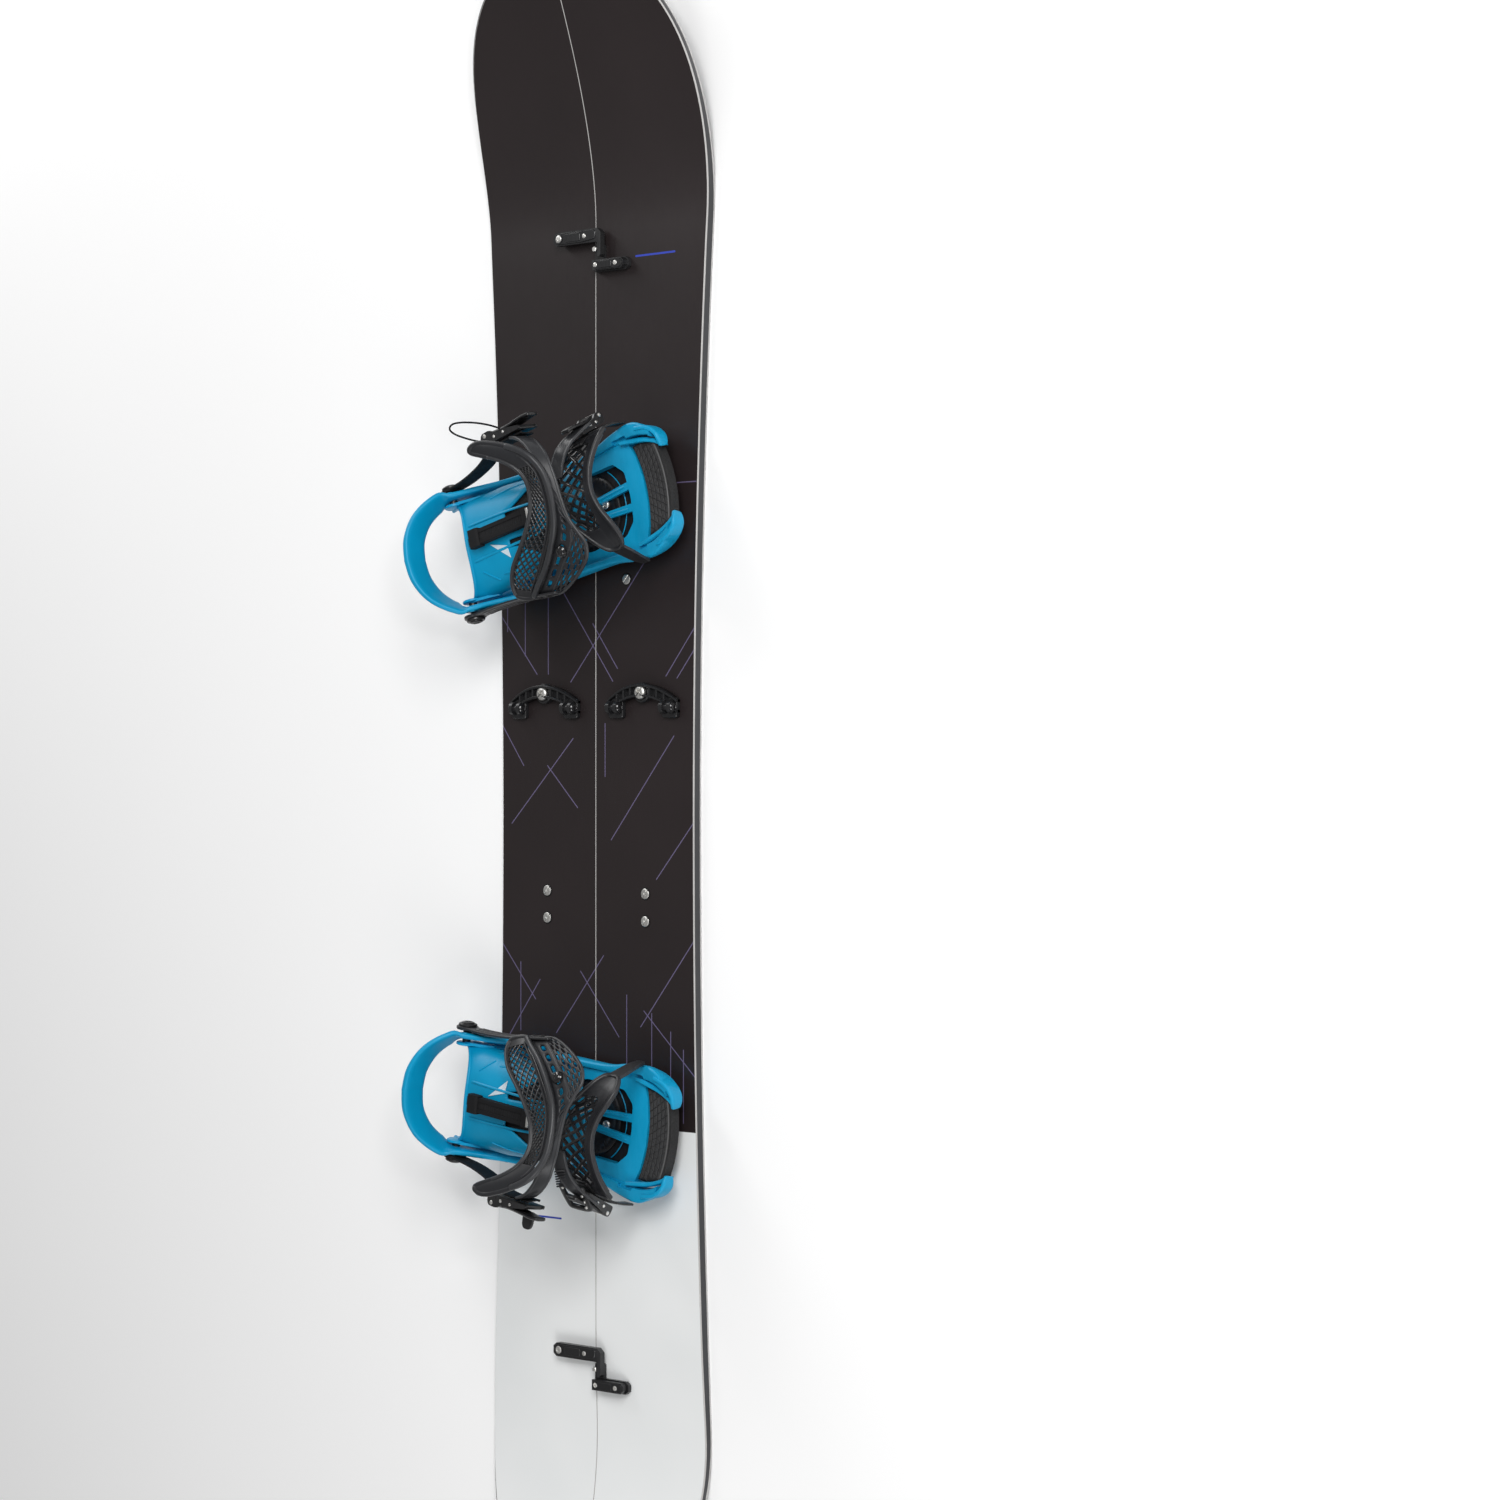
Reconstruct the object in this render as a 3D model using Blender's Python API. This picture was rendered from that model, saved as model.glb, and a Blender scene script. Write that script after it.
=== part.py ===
"""Splitboard in ride mode: two board halves clipped together, two strap bindings slid onto pucks.

Frame: X along the board with the nose at +X, heel side +Y, toe side -Y, running base at z = 0.
Binding pieces are laid out in binding millimetres: u runs heel to toe, v runs to the outer side
(nose side on the front binding, tail side on the rear one), z rises from the topsheet.
"""
import math

import bmesh
import bpy
from mathutils import Vector

# ---------------------------------------------------------------- driving dimensions (metres)
HALF_LENGTH = 0.790          # nose tip and tail tip
CORE_THICK = 0.0085          # between the contact points
TIP_THICK = 0.0048           # at the nose and the tail
WAIST = 0.1265               # half of the waist width
WAIST_X = -0.03
NOSE_SIDECUT, TAIL_SIDECUT = 0.054, 0.042
NOSE_ROUND_X, TAIL_ROUND_X = 0.52, 0.58
NOSE_RISE_X, TAIL_RISE_X = 0.53, 0.60
SIDEWALL_SLANT = 0.0026
EDGE_WIDTH, EDGE_HEIGHT = 0.0020, 0.0019
GAP = 0.0003                 # between pieces that touch
COLOUR_BREAK_X = -0.320      # dark topsheet ahead, pale behind
FRONT_X, FRONT_ANGLE = 0.2550, 15.0
REAR_X, REAR_ANGLE = -0.3105, -8.0
NOSE_CLIP_X, TAIL_CLIP_X = 0.508, -0.552
BRACKET_X = 0.079
PLUG_X = (-0.100, -0.126)
TOE_PLUG = (0.196, -0.040)
HALF_CENTRE_Y = 0.0640       # middle of each half's width

# binding dimensions (millimetres)
PIVOT_U, PIVOT_Z = -124.0, 58.0      # side bolts: highback hinge and ankle strap swing
TOE_PIVOT_U, TOE_PIVOT_Z = 76.0, 26.0
HOOP_THICK = 6.0
PLATE_Z = 12.8
DISC_U, DISC_R = 10.0, 36.0
MM = 0.001


# ---------------------------------------------------------------- materials
def material(name, colour, rough, metal=0.0):
    mat = bpy.data.materials.new(name)
    mat.use_nodes = True
    shader = mat.node_tree.nodes["Principled BSDF"]
    shader.inputs["Base Color"].default_value = (*colour, 1.0)
    shader.inputs["Roughness"].default_value = rough
    shader.inputs["Metallic"].default_value = metal
    mat.diffuse_color = (*colour, 1.0)
    return mat


for old in list(bpy.data.objects):
    bpy.data.objects.remove(old, do_unlink=True)

TOP_DARK = material("topsheet_dark", (0.019, 0.015, 0.016), 0.42)
TOP_PALE = material("topsheet_pale", (0.660, 0.675, 0.675), 0.40)
SIDEWALL = material("sidewall_dark", (0.055, 0.055, 0.058), 0.50)
BASE = material("base_dark", (0.012, 0.012, 0.013), 0.45)
STEEL = material("edge_steel", (0.55, 0.55, 0.55), 0.30, 1.0)
BLUE = material("moulded_blue", (0.003, 0.285, 0.500), 0.32)
BLACK = material("moulded_black", (0.010, 0.010, 0.011), 0.38)
STRAP = material("strap_charcoal", (0.018, 0.019, 0.021), 0.45)
FOAM = material("pad_foam", (0.008, 0.008, 0.008), 0.90)
ALLOY = material("track_black_alloy", (0.020, 0.020, 0.021), 0.35, 0.6)
SILVER = material("screw_silver", (0.62, 0.62, 0.61), 0.28, 1.0)


# ---------------------------------------------------------------- mesh helpers
def add_object(name, verts, faces, mats, origin=(0, 0, 0), smooth=False, slots=None):
    """One closed mesh, faces turned outward, with its origin where the joint axis or centre is."""
    mesh = bpy.data.meshes.new(name)
    start = Vector(origin)
    mesh.from_pydata([Vector(v) - start for v in verts], [], faces)
    for mat in mats:
        mesh.materials.append(mat)
    if slots:
        for poly, slot in zip(mesh.polygons, slots):
            poly.material_index = slot
    work = bmesh.new()
    work.from_mesh(mesh)
    bmesh.ops.recalc_face_normals(work, faces=work.faces)
    work.to_mesh(mesh)
    work.free()
    for poly in mesh.polygons:
        poly.use_smooth = smooth
    if smooth:
        mesh.set_sharp_from_angle(angle=math.radians(38))
    obj = bpy.data.objects.new(name, mesh)
    obj.location = start
    bpy.context.scene.collection.objects.link(obj)
    return obj


def join_or_cut(obj, tools, operation, smooth=False):
    """EXACT booleans against throw-away solids."""
    for tool in tools:
        step = obj.modifiers.new("solid", "BOOLEAN")
        step.operation, step.solver, step.object = operation, "EXACT", tool
        shape = bpy.data.meshes.new_from_object(
            obj.evaluated_get(bpy.context.evaluated_depsgraph_get()))
        obj.modifiers.clear()
        obj.data = shape
        bpy.data.objects.remove(tool, do_unlink=True)
    if smooth:
        for poly in obj.data.polygons:
            poly.use_smooth = True
        obj.data.set_sharp_from_angle(angle=math.radians(38))
    obj.data.name = obj.name
    return obj


def loft(rings, closed=False):
    """Skin between equal rings of points; capped at both ends unless the run closes on itself."""
    size, verts, faces = len(rings[0]), [p for ring in rings for p in ring], []
    count = len(rings)
    for i in range(count if closed else count - 1):
        a, b = i * size, ((i + 1) % count) * size
        for j in range(size):
            k = (j + 1) % size
            faces.append((a + j, a + k, b + k, b + j))
    if not closed:
        faces += [tuple(range(size)), tuple(range((count - 1) * size, count * size))]
    return verts, faces


def spline(points, count):
    """Catmull-Rom run of count points through the control points (any tuple length)."""
    pts = [points[0]] + list(points) + [points[-1]]
    spans, out = len(points) - 1, []
    for i in range(count):
        t = i * spans / (count - 1)
        k = min(int(t), spans - 1)
        t -= k
        a, b, c, d = pts[k:k + 4]
        out.append(tuple(0.5 * (2 * q + (r - p) * t + (2 * p - 5 * q + 4 * r - s) * t * t
                                + (3 * q - p - 3 * r + s) * t ** 3)
                         for p, q, r, s in zip(a, b, c, d)))
    return out


def slab(top, bottom, solid=None):
    """Closed shell between two equal grids; cells where solid is False are left open."""
    rows, cols = len(top), len(top[0])
    solid = solid or (lambda r, c: True)
    index, verts, faces = {}, [], []

    def corner(level, r, c):
        key = (level, r, c)
        if key not in index:
            index[key] = len(verts)
            verts.append((top if level else bottom)[r][c])
        return index[key]

    def filled(r, c):
        return 0 <= r < rows - 1 and 0 <= c < cols - 1 and solid(r, c)

    for r in range(rows - 1):
        for c in range(cols - 1):
            if not filled(r, c):
                continue
            ring = ((r, c), (r + 1, c), (r + 1, c + 1), (r, c + 1))
            faces.append(tuple(corner(1, *p) for p in ring))
            faces.append(tuple(corner(0, *p) for p in reversed(ring)))
            for (p, q), beyond in zip(zip(ring, ring[1:] + ring[:1]),
                                      ((r, c - 1), (r + 1, c), (r, c + 1), (r - 1, c))):
                if not filled(*beyond):
                    faces.append((corner(0, *p), corner(0, *q), corner(1, *q), corner(1, *p)))
    return verts, faces


def band(path, across, thick, cells=1, solid=None, bulge=0.0):
    """Strap-like solid: path points, width direction with half-widths (a, b), and a thickness.

    across holds one (direction, a, b) per path point. bulge crowns the middle outward.
    """
    top, bottom = [], []
    for i, point in enumerate(path):
        here = Vector(point)
        run = Vector(path[min(i + 1, len(path) - 1)]) - Vector(path[max(i - 1, 0)])
        wide, a, b = across[i]
        wide = Vector(wide).normalized()
        out = run.cross(wide).normalized()
        wide = out.cross(run).normalized()
        row_t, row_b = [], []
        for c in range(cells + 1):
            s = -a + (a + b) * c / cells
            crown = bulge * (1 - (2 * c / cells - 1) ** 2)
            spot = here + wide * s + out * crown
            row_t.append(tuple(spot + out * thick / 2))
            row_b.append(tuple(spot - out * thick / 2))
        top.append(row_t)
        bottom.append(row_b)
    return slab(top, bottom, solid)


def box(x0, x1, y0, y1, z0, z1):
    ring = [(x0, y0), (x1, y0), (x1, y1), (x0, y1)]
    return prism(ring, z0, z1)


def prism(outline, z0, z1):
    return loft([[(x, y, z) for x, y in outline] for z in (z0, z1)])


def disc_points(cx, cy, radius, count):
    return [(cx + radius * math.cos(2 * math.pi * i / count),
             cy + radius * math.sin(2 * math.pi * i / count)) for i in range(count)]


def turned(centre, axis, profile, count):
    """Round solid about an axis: profile is a run of (radius, distance along the axis)."""
    axis = Vector(axis).normalized()
    side = axis.orthogonal().normalized()
    other = axis.cross(side)
    rings = [[tuple(Vector(centre) + axis * d + (side * math.cos(2 * math.pi * i / count)
                                                 + other * math.sin(2 * math.pi * i / count)) * r)
              for i in range(count)] for r, d in profile]
    return loft(rings)


# ---------------------------------------------------------------- board halves
def half_width(x):
    sidecut, round_x, power = ((NOSE_SIDECUT, NOSE_ROUND_X, 3.4) if x > WAIST_X
                               else (TAIL_SIDECUT, TAIL_ROUND_X, 2.6))
    width = WAIST + sidecut * (x - WAIST_X) ** 2
    t = (abs(x) - round_x) / (HALF_LENGTH - round_x)
    return width * (1 - max(t, 0.0) ** power) ** 0.5


def rise(x):
    start, bend, ease = ((NOSE_RISE_X, 2.3, 4.6) if x > 0 else (TAIL_RISE_X, 1.3, 1.5))
    d = max(abs(x) - start, 0.0)
    return bend * d * d / (1 + ease * d)


def thickness(x):
    t = min(max((abs(x) - 0.50) / 0.20, 0.0), 1.0)
    return CORE_THICK + (TIP_THICK - CORE_THICK) * t * t * (3 - 2 * t)


def board_stations():
    """Close steps through the rounded ends, long steps along the straight middle."""
    ends = [0.7885, 0.785, 0.778, 0.768, 0.752, 0.730, 0.702, 0.670, 0.636, 0.600, 0.565, 0.530]
    tail = [-0.7885, -0.785, -0.777, -0.764, -0.745, -0.720, -0.690, -0.655, -0.620, -0.575]
    middle = [-0.50, -0.42, COLOUR_BREAK_X, -0.22, -0.12, 0.0, 0.12, 0.22, 0.32, 0.40, 0.48]
    return tail + middle + ends[::-1]


def outline_loop(side, inset_outer, inset_seam):
    """Closed plan loop of one half: along the seam to the nose, back along the outer side."""
    xs = board_stations()
    loop = [(x, GAP / 2) for x in xs] + [(x, half_width(x)) for x in reversed(xs)]
    count, out = len(loop), []
    for i, (x, y) in enumerate(loop):
        seam = i < len(xs)
        a, b = Vector(loop[i - 1]), Vector(loop[(i + 1) % count])
        here = Vector((x, y))
        n1 = Vector(((here - a).y, -(here - a).x)).normalized()
        n2 = Vector(((b - here).y, -(b - here).x)).normalized()
        mitre = (n1 + n2) / max(1 + n1.dot(n2), 0.3)
        shift = inset_seam if seam else inset_outer
        spot = here - mitre * shift
        out.append((spot.x, side * spot.y))
    return out


def board_half(side, name):
    xs = board_stations()
    count = len(xs)
    room = EDGE_WIDTH + GAP
    low, step = outline_loop(side, room, room), EDGE_HEIGHT + GAP
    full, top = outline_loop(side, 0, 0), outline_loop(side, SIDEWALL_SLANT, 0)
    levels = [(low, lambda x: 0.0), (low, lambda x: step), (full, lambda x: step),
              (top, lambda x: thickness(x))]
    verts, faces, slots = [], [], []
    for loop, height in levels:
        verts += [(x, y, rise(x) + height(x)) for x, y in loop]
    size = 2 * count
    for level in range(3):
        for j in range(size):
            k = (j + 1) % size
            a, b = level * size, (level + 1) * size
            faces.append((a + j, a + k, b + k, b + j))
            slots.append(2)
    for level, pale in ((0, 3), (3, None)):
        for i in range(count - 1):
            j = level * size
            faces.append((j + i, j + i + 1, j + size - 2 - i, j + size - 1 - i))
            slots.append(pale if pale is not None else int(xs[i + 1] <= COLOUR_BREAK_X + 1e-6))
    return add_object(name, verts, faces, [TOP_DARK, TOP_PALE, SIDEWALL, BASE], slots=slots)


def steel_edge(side, name):
    outer, inner = outline_loop(side, 0, 0), outline_loop(side, EDGE_WIDTH, EDGE_WIDTH)
    rings = [[(x, y, rise(x)), (x, y, rise(x) + EDGE_HEIGHT),
              (p, q, rise(p) + EDGE_HEIGHT), (p, q, rise(p))]
             for (x, y), (p, q) in zip(outer, inner)]
    return add_object(name, *loft(rings, closed=True), [STEEL])


board_half(1, "heel_half")
board_half(-1, "toe_half")
steel_edge(1, "heel_half_steel_edge")
steel_edge(-1, "toe_half_steel_edge")


# ---------------------------------------------------------------- board hardware
def screw(name, x, y, z, radius, height):
    body = turned((x, y, z), (0, 0, 1),
                  ((radius, GAP), (radius, height * 0.6), (radius * 0.86, height)), 16)
    return add_object(name, *body, [SILVER], origin=(x, y, z), smooth=True)


def touring_bracket(side, name):
    """Low arched foot with an upright bolted ear at each end and an open middle."""
    cx, cy, z = BRACKET_X, side * HALF_CENTRE_Y, CORE_THICK + GAP
    arc = [(18 - 15 * (y / 44) ** 2, y) for y in (-44, -33, -20, -7, 7, 20, 33, 44)]
    foot = [(x - 4, y) for x, y in arc] + [(-14, 42), (-14, 26), (-6, 16), (-6, -16), (-14, -26),
                                            (-14, -42)]
    to_world = [(cx + x * MM, cy + y * MM) for x, y in foot]
    body = add_object(name, *prism(to_world, z, z + 0.005), [BLACK], origin=(cx, cy, z))
    extra = []
    for end in (-1, 1):
        ear = [(y, h) for y, h in ((27, 3), (41, 3), (41, 9), (38, 12), (30, 12), (27, 9))]
        ring = [[(cx + x * MM, cy + end * y * MM, z + h * MM) for y, h in ear] for x in (-11, 3)]
        extra.append(add_object("ear", *loft(ring), [BLACK]))
    rib = [[(cx + (14 - 13 * (y / 40) ** 2 + dx) * MM, cy + y * MM,
             z + (3 + 4 * (1 - (y / 42) ** 2) * h + 2.5 * h) * MM)
            for dx, h in ((-8, 0), (-1, 0), (-1, 1), (-8, 1))]
           for y in (-36, -25, -13, 0, 13, 25, 36)]
    extra.append(add_object("rib", *loft(rib), [BLACK]))
    join_or_cut(body, extra, "UNION")
    pocket = turned((cx + 0.010, cy, z + 0.006), (0, 0, 1), ((0.0072, 0), (0.0072, 0.02)), 16)
    join_or_cut(body, [add_object("pocket", *pocket, [BLACK])], "DIFFERENCE")
    return screw(name + "_screw", cx + 0.010, cy, z + 0.006, 0.0066, 0.0042)


for which, side in (("heel", 1), ("toe", -1)):
    touring_bracket(side, which + "_touring_bracket")
    for number, x in enumerate(PLUG_X, 1):
        screw(f"{which}_plug_screw_{number}", x, side * HALF_CENTRE_Y, CORE_THICK, 0.0058, 0.0016)
screw("toe_plug_screw_3", *TOE_PLUG, CORE_THICK, 0.0058, 0.0016)


def centre_clip(cx, prefix):
    """Keeper with a post on the toe half, hook on a vertical pivot on the heel half."""
    z = CORE_THICK + GAP

    def plan(points):
        return [(cx + x * MM, y * MM) for x, y in points]

    keeper = add_object(prefix + "_clip_keeper", *prism(plan(
        [(-20, -3), (-20, -42), (-17, -46), (-11, -46), (-8, -42), (-8, -14), (5, -14), (6, -12),
         (6, -4), (5, -3)]), z, z + 0.0038), [BLACK], origin=(cx - 0.014, -0.024, z))
    arm = prism(plan([(-19, -4), (-19, -41), (-16, -44), (-12, -44), (-9, -41), (-9, -4)]),
                z + 0.002, z + 0.0095)
    post = turned((cx + 0.001, -0.008, z + 0.002), (0, 0, 1), ((0.0026, 0), (0.0026, 0.0078)), 12)
    join_or_cut(keeper, [add_object("arm", *arm, [BLACK]), add_object("post", *post, [SILVER])],
                "UNION")
    hook = add_object(prefix + "_clip_hook", *prism(plan(
        [(8, 30), (8, -10.6), (-5, -11), (-6, -12), (-6, -14), (-4, -15.5), (17, -15.5),
         (21, -11), (21, 42), (18, 46), (11, 46), (8, 42)]), z + 0.0042, z + 0.0100),
        [BLACK], origin=(cx + 0.0145, 0.038, z))
    foot = turned((cx + 0.0145, 0.038, z), (0, 0, 1), ((0.0055, 0), (0.0055, 0.006)), 12)
    cap = turned((cx + 0.0145, 0.038, z), (0, 0, 1), ((0.0048, 0.008), (0.0048, 0.0115)), 12)
    join_or_cut(hook, [add_object("foot", *foot, [BLACK]), add_object("cap", *cap, [SILVER])],
                "UNION")


centre_clip(NOSE_CLIP_X, "nose")
centre_clip(TAIL_CLIP_X, "tail")


# ---------------------------------------------------------------- bindings
def ratchet(add, name, at, along, out, length, wide):
    """Ratchet body with side walls over the ladder, and the pressing lever hinged in it."""
    along, out = Vector(along).normalized(), Vector(out)
    out = (out - along * out.dot(along)).normalized()
    side, at = along.cross(out), Vector(at)

    def solid(profile, half):
        return loft([[tuple(at + along * a + out * n + side * w) for a, n in profile]
                     for w in (-half, half)])

    h = length / 2
    body = add(name + "_buckle", *solid(((-h, 0), (h, 0), (h, 4), (h * 0.5, 7), (-h * 0.5, 12),
                                         (-h * 0.9, 11), (-h, 7)), wide), [BLACK], tuple(at))
    well = add("well", *solid(((-h - 2, 3.4), (h + 2, 3.4), (h + 2, 20), (-h - 2, 20)),
                              wide - 3.4), [BLACK])
    join_or_cut(body, [well], "DIFFERENCE")
    hinge = at + along * (-h * 0.76) + out * 8.4
    lever = ((-h * 0.86, 6.2), (-h * 0.5, 4.6), (h * 0.1, 6.0), (h * 0.75, 8.4), (h * 1.3, 9.0),
             (h * 1.42, 11.4), (h * 0.8, 12.0), (h * 0.2, 10.4), (-h * 0.4, 11.6), (-h * 0.8, 10.6))
    add(name + "_lever", *solid(lever, wide - 3.8), [BLACK], tuple(hinge))


def binding(label, centre_x, angle, mirror):
    """All pieces of one strap binding, laid out in binding millimetres and set on the board."""
    turn = math.radians(angle)
    toe = Vector((math.sin(turn), -math.cos(turn), 0))
    outer = Vector((math.cos(turn), math.sin(turn), 0)) * (-1 if mirror else 1)
    base = Vector((centre_x, 0, CORE_THICK))

    def world(point):
        u, v, z = (c * MM for c in point)
        return base + toe * u + outer * v + Vector((0, 0, z))

    def add(name, verts, faces, mats, origin=(0, 0, 0), smooth=False, slots=None):
        return add_object(f"{label}_{name}" if name not in ("well", "tool") else name,
                          [world(v) for v in verts], faces, mats, world(origin), smooth, slots)

    # pucks and the channel that slides over them
    lip = [(-28, 0.3), (28, 0.3), (28, 4.2), (35, 4.2), (35, 9), (-35, 9), (-35, 4.2), (-28, 4.2)]
    for where, u0 in (("heel", -98), ("toe", 16)):
        add(where + "_puck", *loft([[(u, v, z) for v, z in lip] for u in (u0, u0 + 80)]), [BLACK],
            (u0 + 40, 0, 0))
    rail = [(-31, 1), (-38.4, 1), (-38.4, 12.5), (38.4, 12.5), (38.4, 1), (31, 1), (31, 3.7),
            (35.4, 3.7), (35.4, 9.4), (-35.4, 9.4), (-35.4, 3.7), (-31, 3.7)]
    add("track", *loft([[(u, v, z) for v, z in rail] for u in (-122, 100)]), [ALLOY],
        (0, 0, 10))

    # baseplate: floor, side rails growing into the toe wings, windows round the disc
    floor = [(-126, 40), (-120, 47), (-48, 49), (30, 51), (60, 54), (74, 53), (82, 34), (86.2, 12)]
    floor += [(u, -v) for u, v in reversed(floor)]
    plate = add("baseplate", *prism(floor, PLATE_Z, 21), [BLUE], (0, 0, PLATE_Z))
    sides = []
    for s in (-1, 1):
        run = spline(((-126, 49, 36, 0), (-110, 49.5, 42, 0), (-80, 49.5, 40, 0), (-48, 51, 31, 0),
                      (-10, 52, 27, 0), (30, 53, 25, 1), (60, 55, 26, 5), (86, 55, 29, 7),
                      (106, 50, 32, 6), (121, 42, 33, 3)), 19)
        rings = [[(u, s * (v - 5), PLATE_Z), (u, s * (v + 1 + flare / 2), PLATE_Z),
                  (u, s * (v + 1.5 + flare), top - 3), (u, s * (v + flare), top - 0.6),
                  (u, s * (v - 2), top), (u, s * (v - 4), top - 1)] for u, v, top, flare in run]
        sides.append(add("tool", *loft(rings), [BLUE]))
    join_or_cut(plate, sides, "UNION")
    windows = []
    hole = disc_points(DISC_U, 0, DISC_R + 0.4, 28)
    windows.append(add("tool", *prism(hole, 0, 60), [BLUE]))
    mouth = [(DISC_U, 35), (50, 34), (63, 25), (63, -25), (50, -34), (DISC_U, -35)]
    windows.append(add("tool", *prism(mouth, 0, 60), [BLUE]))
    for s in (-1, 1):
        slot = [(96, 46.5), (110, 42.5), (111.5, 45.5), (97, 50)]
        windows.append(add("tool", *prism([(u, s * v) for u, v in slot], 26, 60), [BLUE]))
        bore = turned((PIVOT_U + 42, s * 40, 30), (0, 1, 0), ((3.2, 0), (3.2, s * 30)), 12)
        windows.append(add("tool", *bore, [BLUE]))
    join_or_cut(plate, windows, "DIFFERENCE")
    spokes = []
    for s in (-1, 1):
        blade = [(-30, s * 2), (66, s * 7), (66, s * 14.5), (-30, s * 6.5)]
        spokes.append(add("tool", *prism(blade, 16.6, 20.6), [BLUE]))
    join_or_cut(plate, spokes, "UNION", smooth=True)
    add("disc", *turned((DISC_U, 0, PLATE_Z), (0, 0, 1),
                        ((DISC_R, 0.2), (DISC_R, 2.2), (DISC_R - 1.5, 3.2)), 28), [BLACK],
        (DISC_U, 0, PLATE_Z), smooth=True)

    # toe pad: curved foam ramp ahead of the baseplate
    rings = []
    for v in (-44, -28, -14, 0, 14, 28, 44):
        near = 87.8 - 7.0 * (v / 42) ** 2
        rings.append([(near, v, 13), (near + 27, v, 13), (near + 31, v, 16), (near + 31, v, 23),
                      (near + 28, v, 25), (near, v, 22)])
    pad = add("toe_pad", *loft(rings), [FOAM], (104, 0, 13))
    room = []
    for s in (-1, 1):
        cheek = prism([(60, s * 70), (60, s * 48), (88, s * 46), (106, s * 41.5), (121, s * 34),
                       (150, s * 22), (150, s * 70)], 0, 60)
        room.append(add("tool", *cheek, [FOAM]))
    join_or_cut(pad, room, "DIFFERENCE")

    # heel hoop: one swept band round the heel, arms bolted to the rails
    arms = spline(((-50, 56.2, 27), (-76, 56.2, 35), (-100, 56.2, 48), (PIVOT_U, 55.6, 61),
                   (-133, 51.0, 74), (-143, 38.0, 87), (-149, 20.0, 95)), 15)
    trail = arms + [(-151, 0, 97)] + [(u, -v, z) for u, v, z in reversed(arms)]
    tall = [9 + 3.5 * min(max((-66 - u) / 56, 0), 1) for u, v, z in trail]
    across = [((0, 0, 1), t, t) for t in tall]
    hoop = add("heel_hoop", *band(trail, across, HOOP_THICK, cells=2, bulge=0.8), [BLUE],
               (-140, 0, 80))
    pins = [add("tool", *turned((PIVOT_U, s * 40, PIVOT_Z), (0, 1, 0), ((4.3, 0), (4.3, s * 40)),
                                16), [BLUE]) for s in (-1, 1)]
    join_or_cut(hoop, pins, "DIFFERENCE", smooth=True)

    # highback folded forward over the footbed: a crowned shell with two windows
    top, low = [], []
    rows, cols = 12, 14
    for r in range(rows + 1):
        row_t, row_b = [], []
        for c in range(cols + 1):
            s = 2 * c / cols - 1
            start = -100 - 38 * abs(s) ** 2.4
            finish = 46 - 26 * abs(s) ** 3
            t = r / rows
            u = start + (finish - start) * t
            half = 50.0 - 1.5 * t - 9 * max(t - 0.45, 0) / 0.55
            crest = 77 + 4 * math.sin(math.pi * min(t * 1.2, 1)) - 11 * t
            edge = 46 + 6 * t
            lean = math.radians(88) * s
            spot = Vector((u, half * math.sin(lean), edge + (crest - edge) * math.cos(lean)))
            out = Vector((0, math.sin(lean), math.cos(lean)))
            row_t.append(tuple(spot))
            row_b.append(tuple(spot - out * 3.6))
        top.append(row_t)
        low.append(row_b)
    shell = add("highback", *slab(top, low, lambda r, c: not (
        5 <= r <= 8 and (3 <= c <= 5 or 8 <= c <= 10))), [BLUE], (PIVOT_U, 0, PIVOT_Z))
    pins = [add("tool", *turned((PIVOT_U, s * 35, PIVOT_Z), (0, 1, 0), ((4.3, 0), (4.3, s * 40)),
                                16), [BLUE]) for s in (-1, 1)]
    join_or_cut(shell, pins, "DIFFERENCE", smooth=True)

    # liner pad under the shell, and the forward-lean bar on its spine
    top_p, low_p = [], []
    for r in range(6):
        row_t, row_b = [], []
        for c in range(9):
            s = 2 * c / 8 - 1
            t = 0.28 + 0.60 * r / 5
            crest = 77 + 4 * math.sin(math.pi * min(t * 1.2, 1)) - 11 * t
            edge, half = 46 + 6 * t, 50.0 - 1.5 * t - 9 * max(t - 0.45, 0) / 0.55
            lean = math.radians(50) * s
            out = Vector((0, math.sin(lean), math.cos(lean)))
            u = -100 + 146 * t
            spot = Vector((u, half * math.sin(lean), edge + (crest - edge) * math.cos(lean)))
            row_t.append(tuple(spot - out * 4.6))
            row_b.append(tuple(spot - out * 8.6))
        top_p.append(row_t)
        low_p.append(row_b)
    add("highback_pad", *slab(top_p, low_p), [FOAM], (PIVOT_U, 0, PIVOT_Z), smooth=True)
    bar = [(-80, 80.8), (-76, 80.8), (-8, 80.0), (-4, 80.4), (-4, 87.5), (-8, 88.5), (-76, 90.0),
           (-80, 89.0)]
    bar_body = add("lean_adjuster", *loft([[(u, v, z + lift) for u, z in bar]
                                           for v, lift in ((-7.5, 0), (7.5, 0))]), [BLACK],
                   (PIVOT_U, 0, PIVOT_Z))
    groove = [add("tool", *box(-72, -12, -3.2, 3.2, 86.6, 99), [BLACK])]
    join_or_cut(bar_body, groove, "DIFFERENCE")

    # side bolts: shank through the highback, the hoop arm and the strap end
    for where, s in (("inner", -1), ("outer", 1)):
        run = ((4.0, s * 42), (4.0, s * 64.6), (8.5, s * 64.6), (8.5, s * 67), (6.5, s * 69))
        add(where + "_pivot_bolt", *turned((PIVOT_U, 0, PIVOT_Z), (0, 1, 0), run, 18), [BLACK],
            (PIVOT_U, 0, PIVOT_Z), smooth=True)

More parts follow.
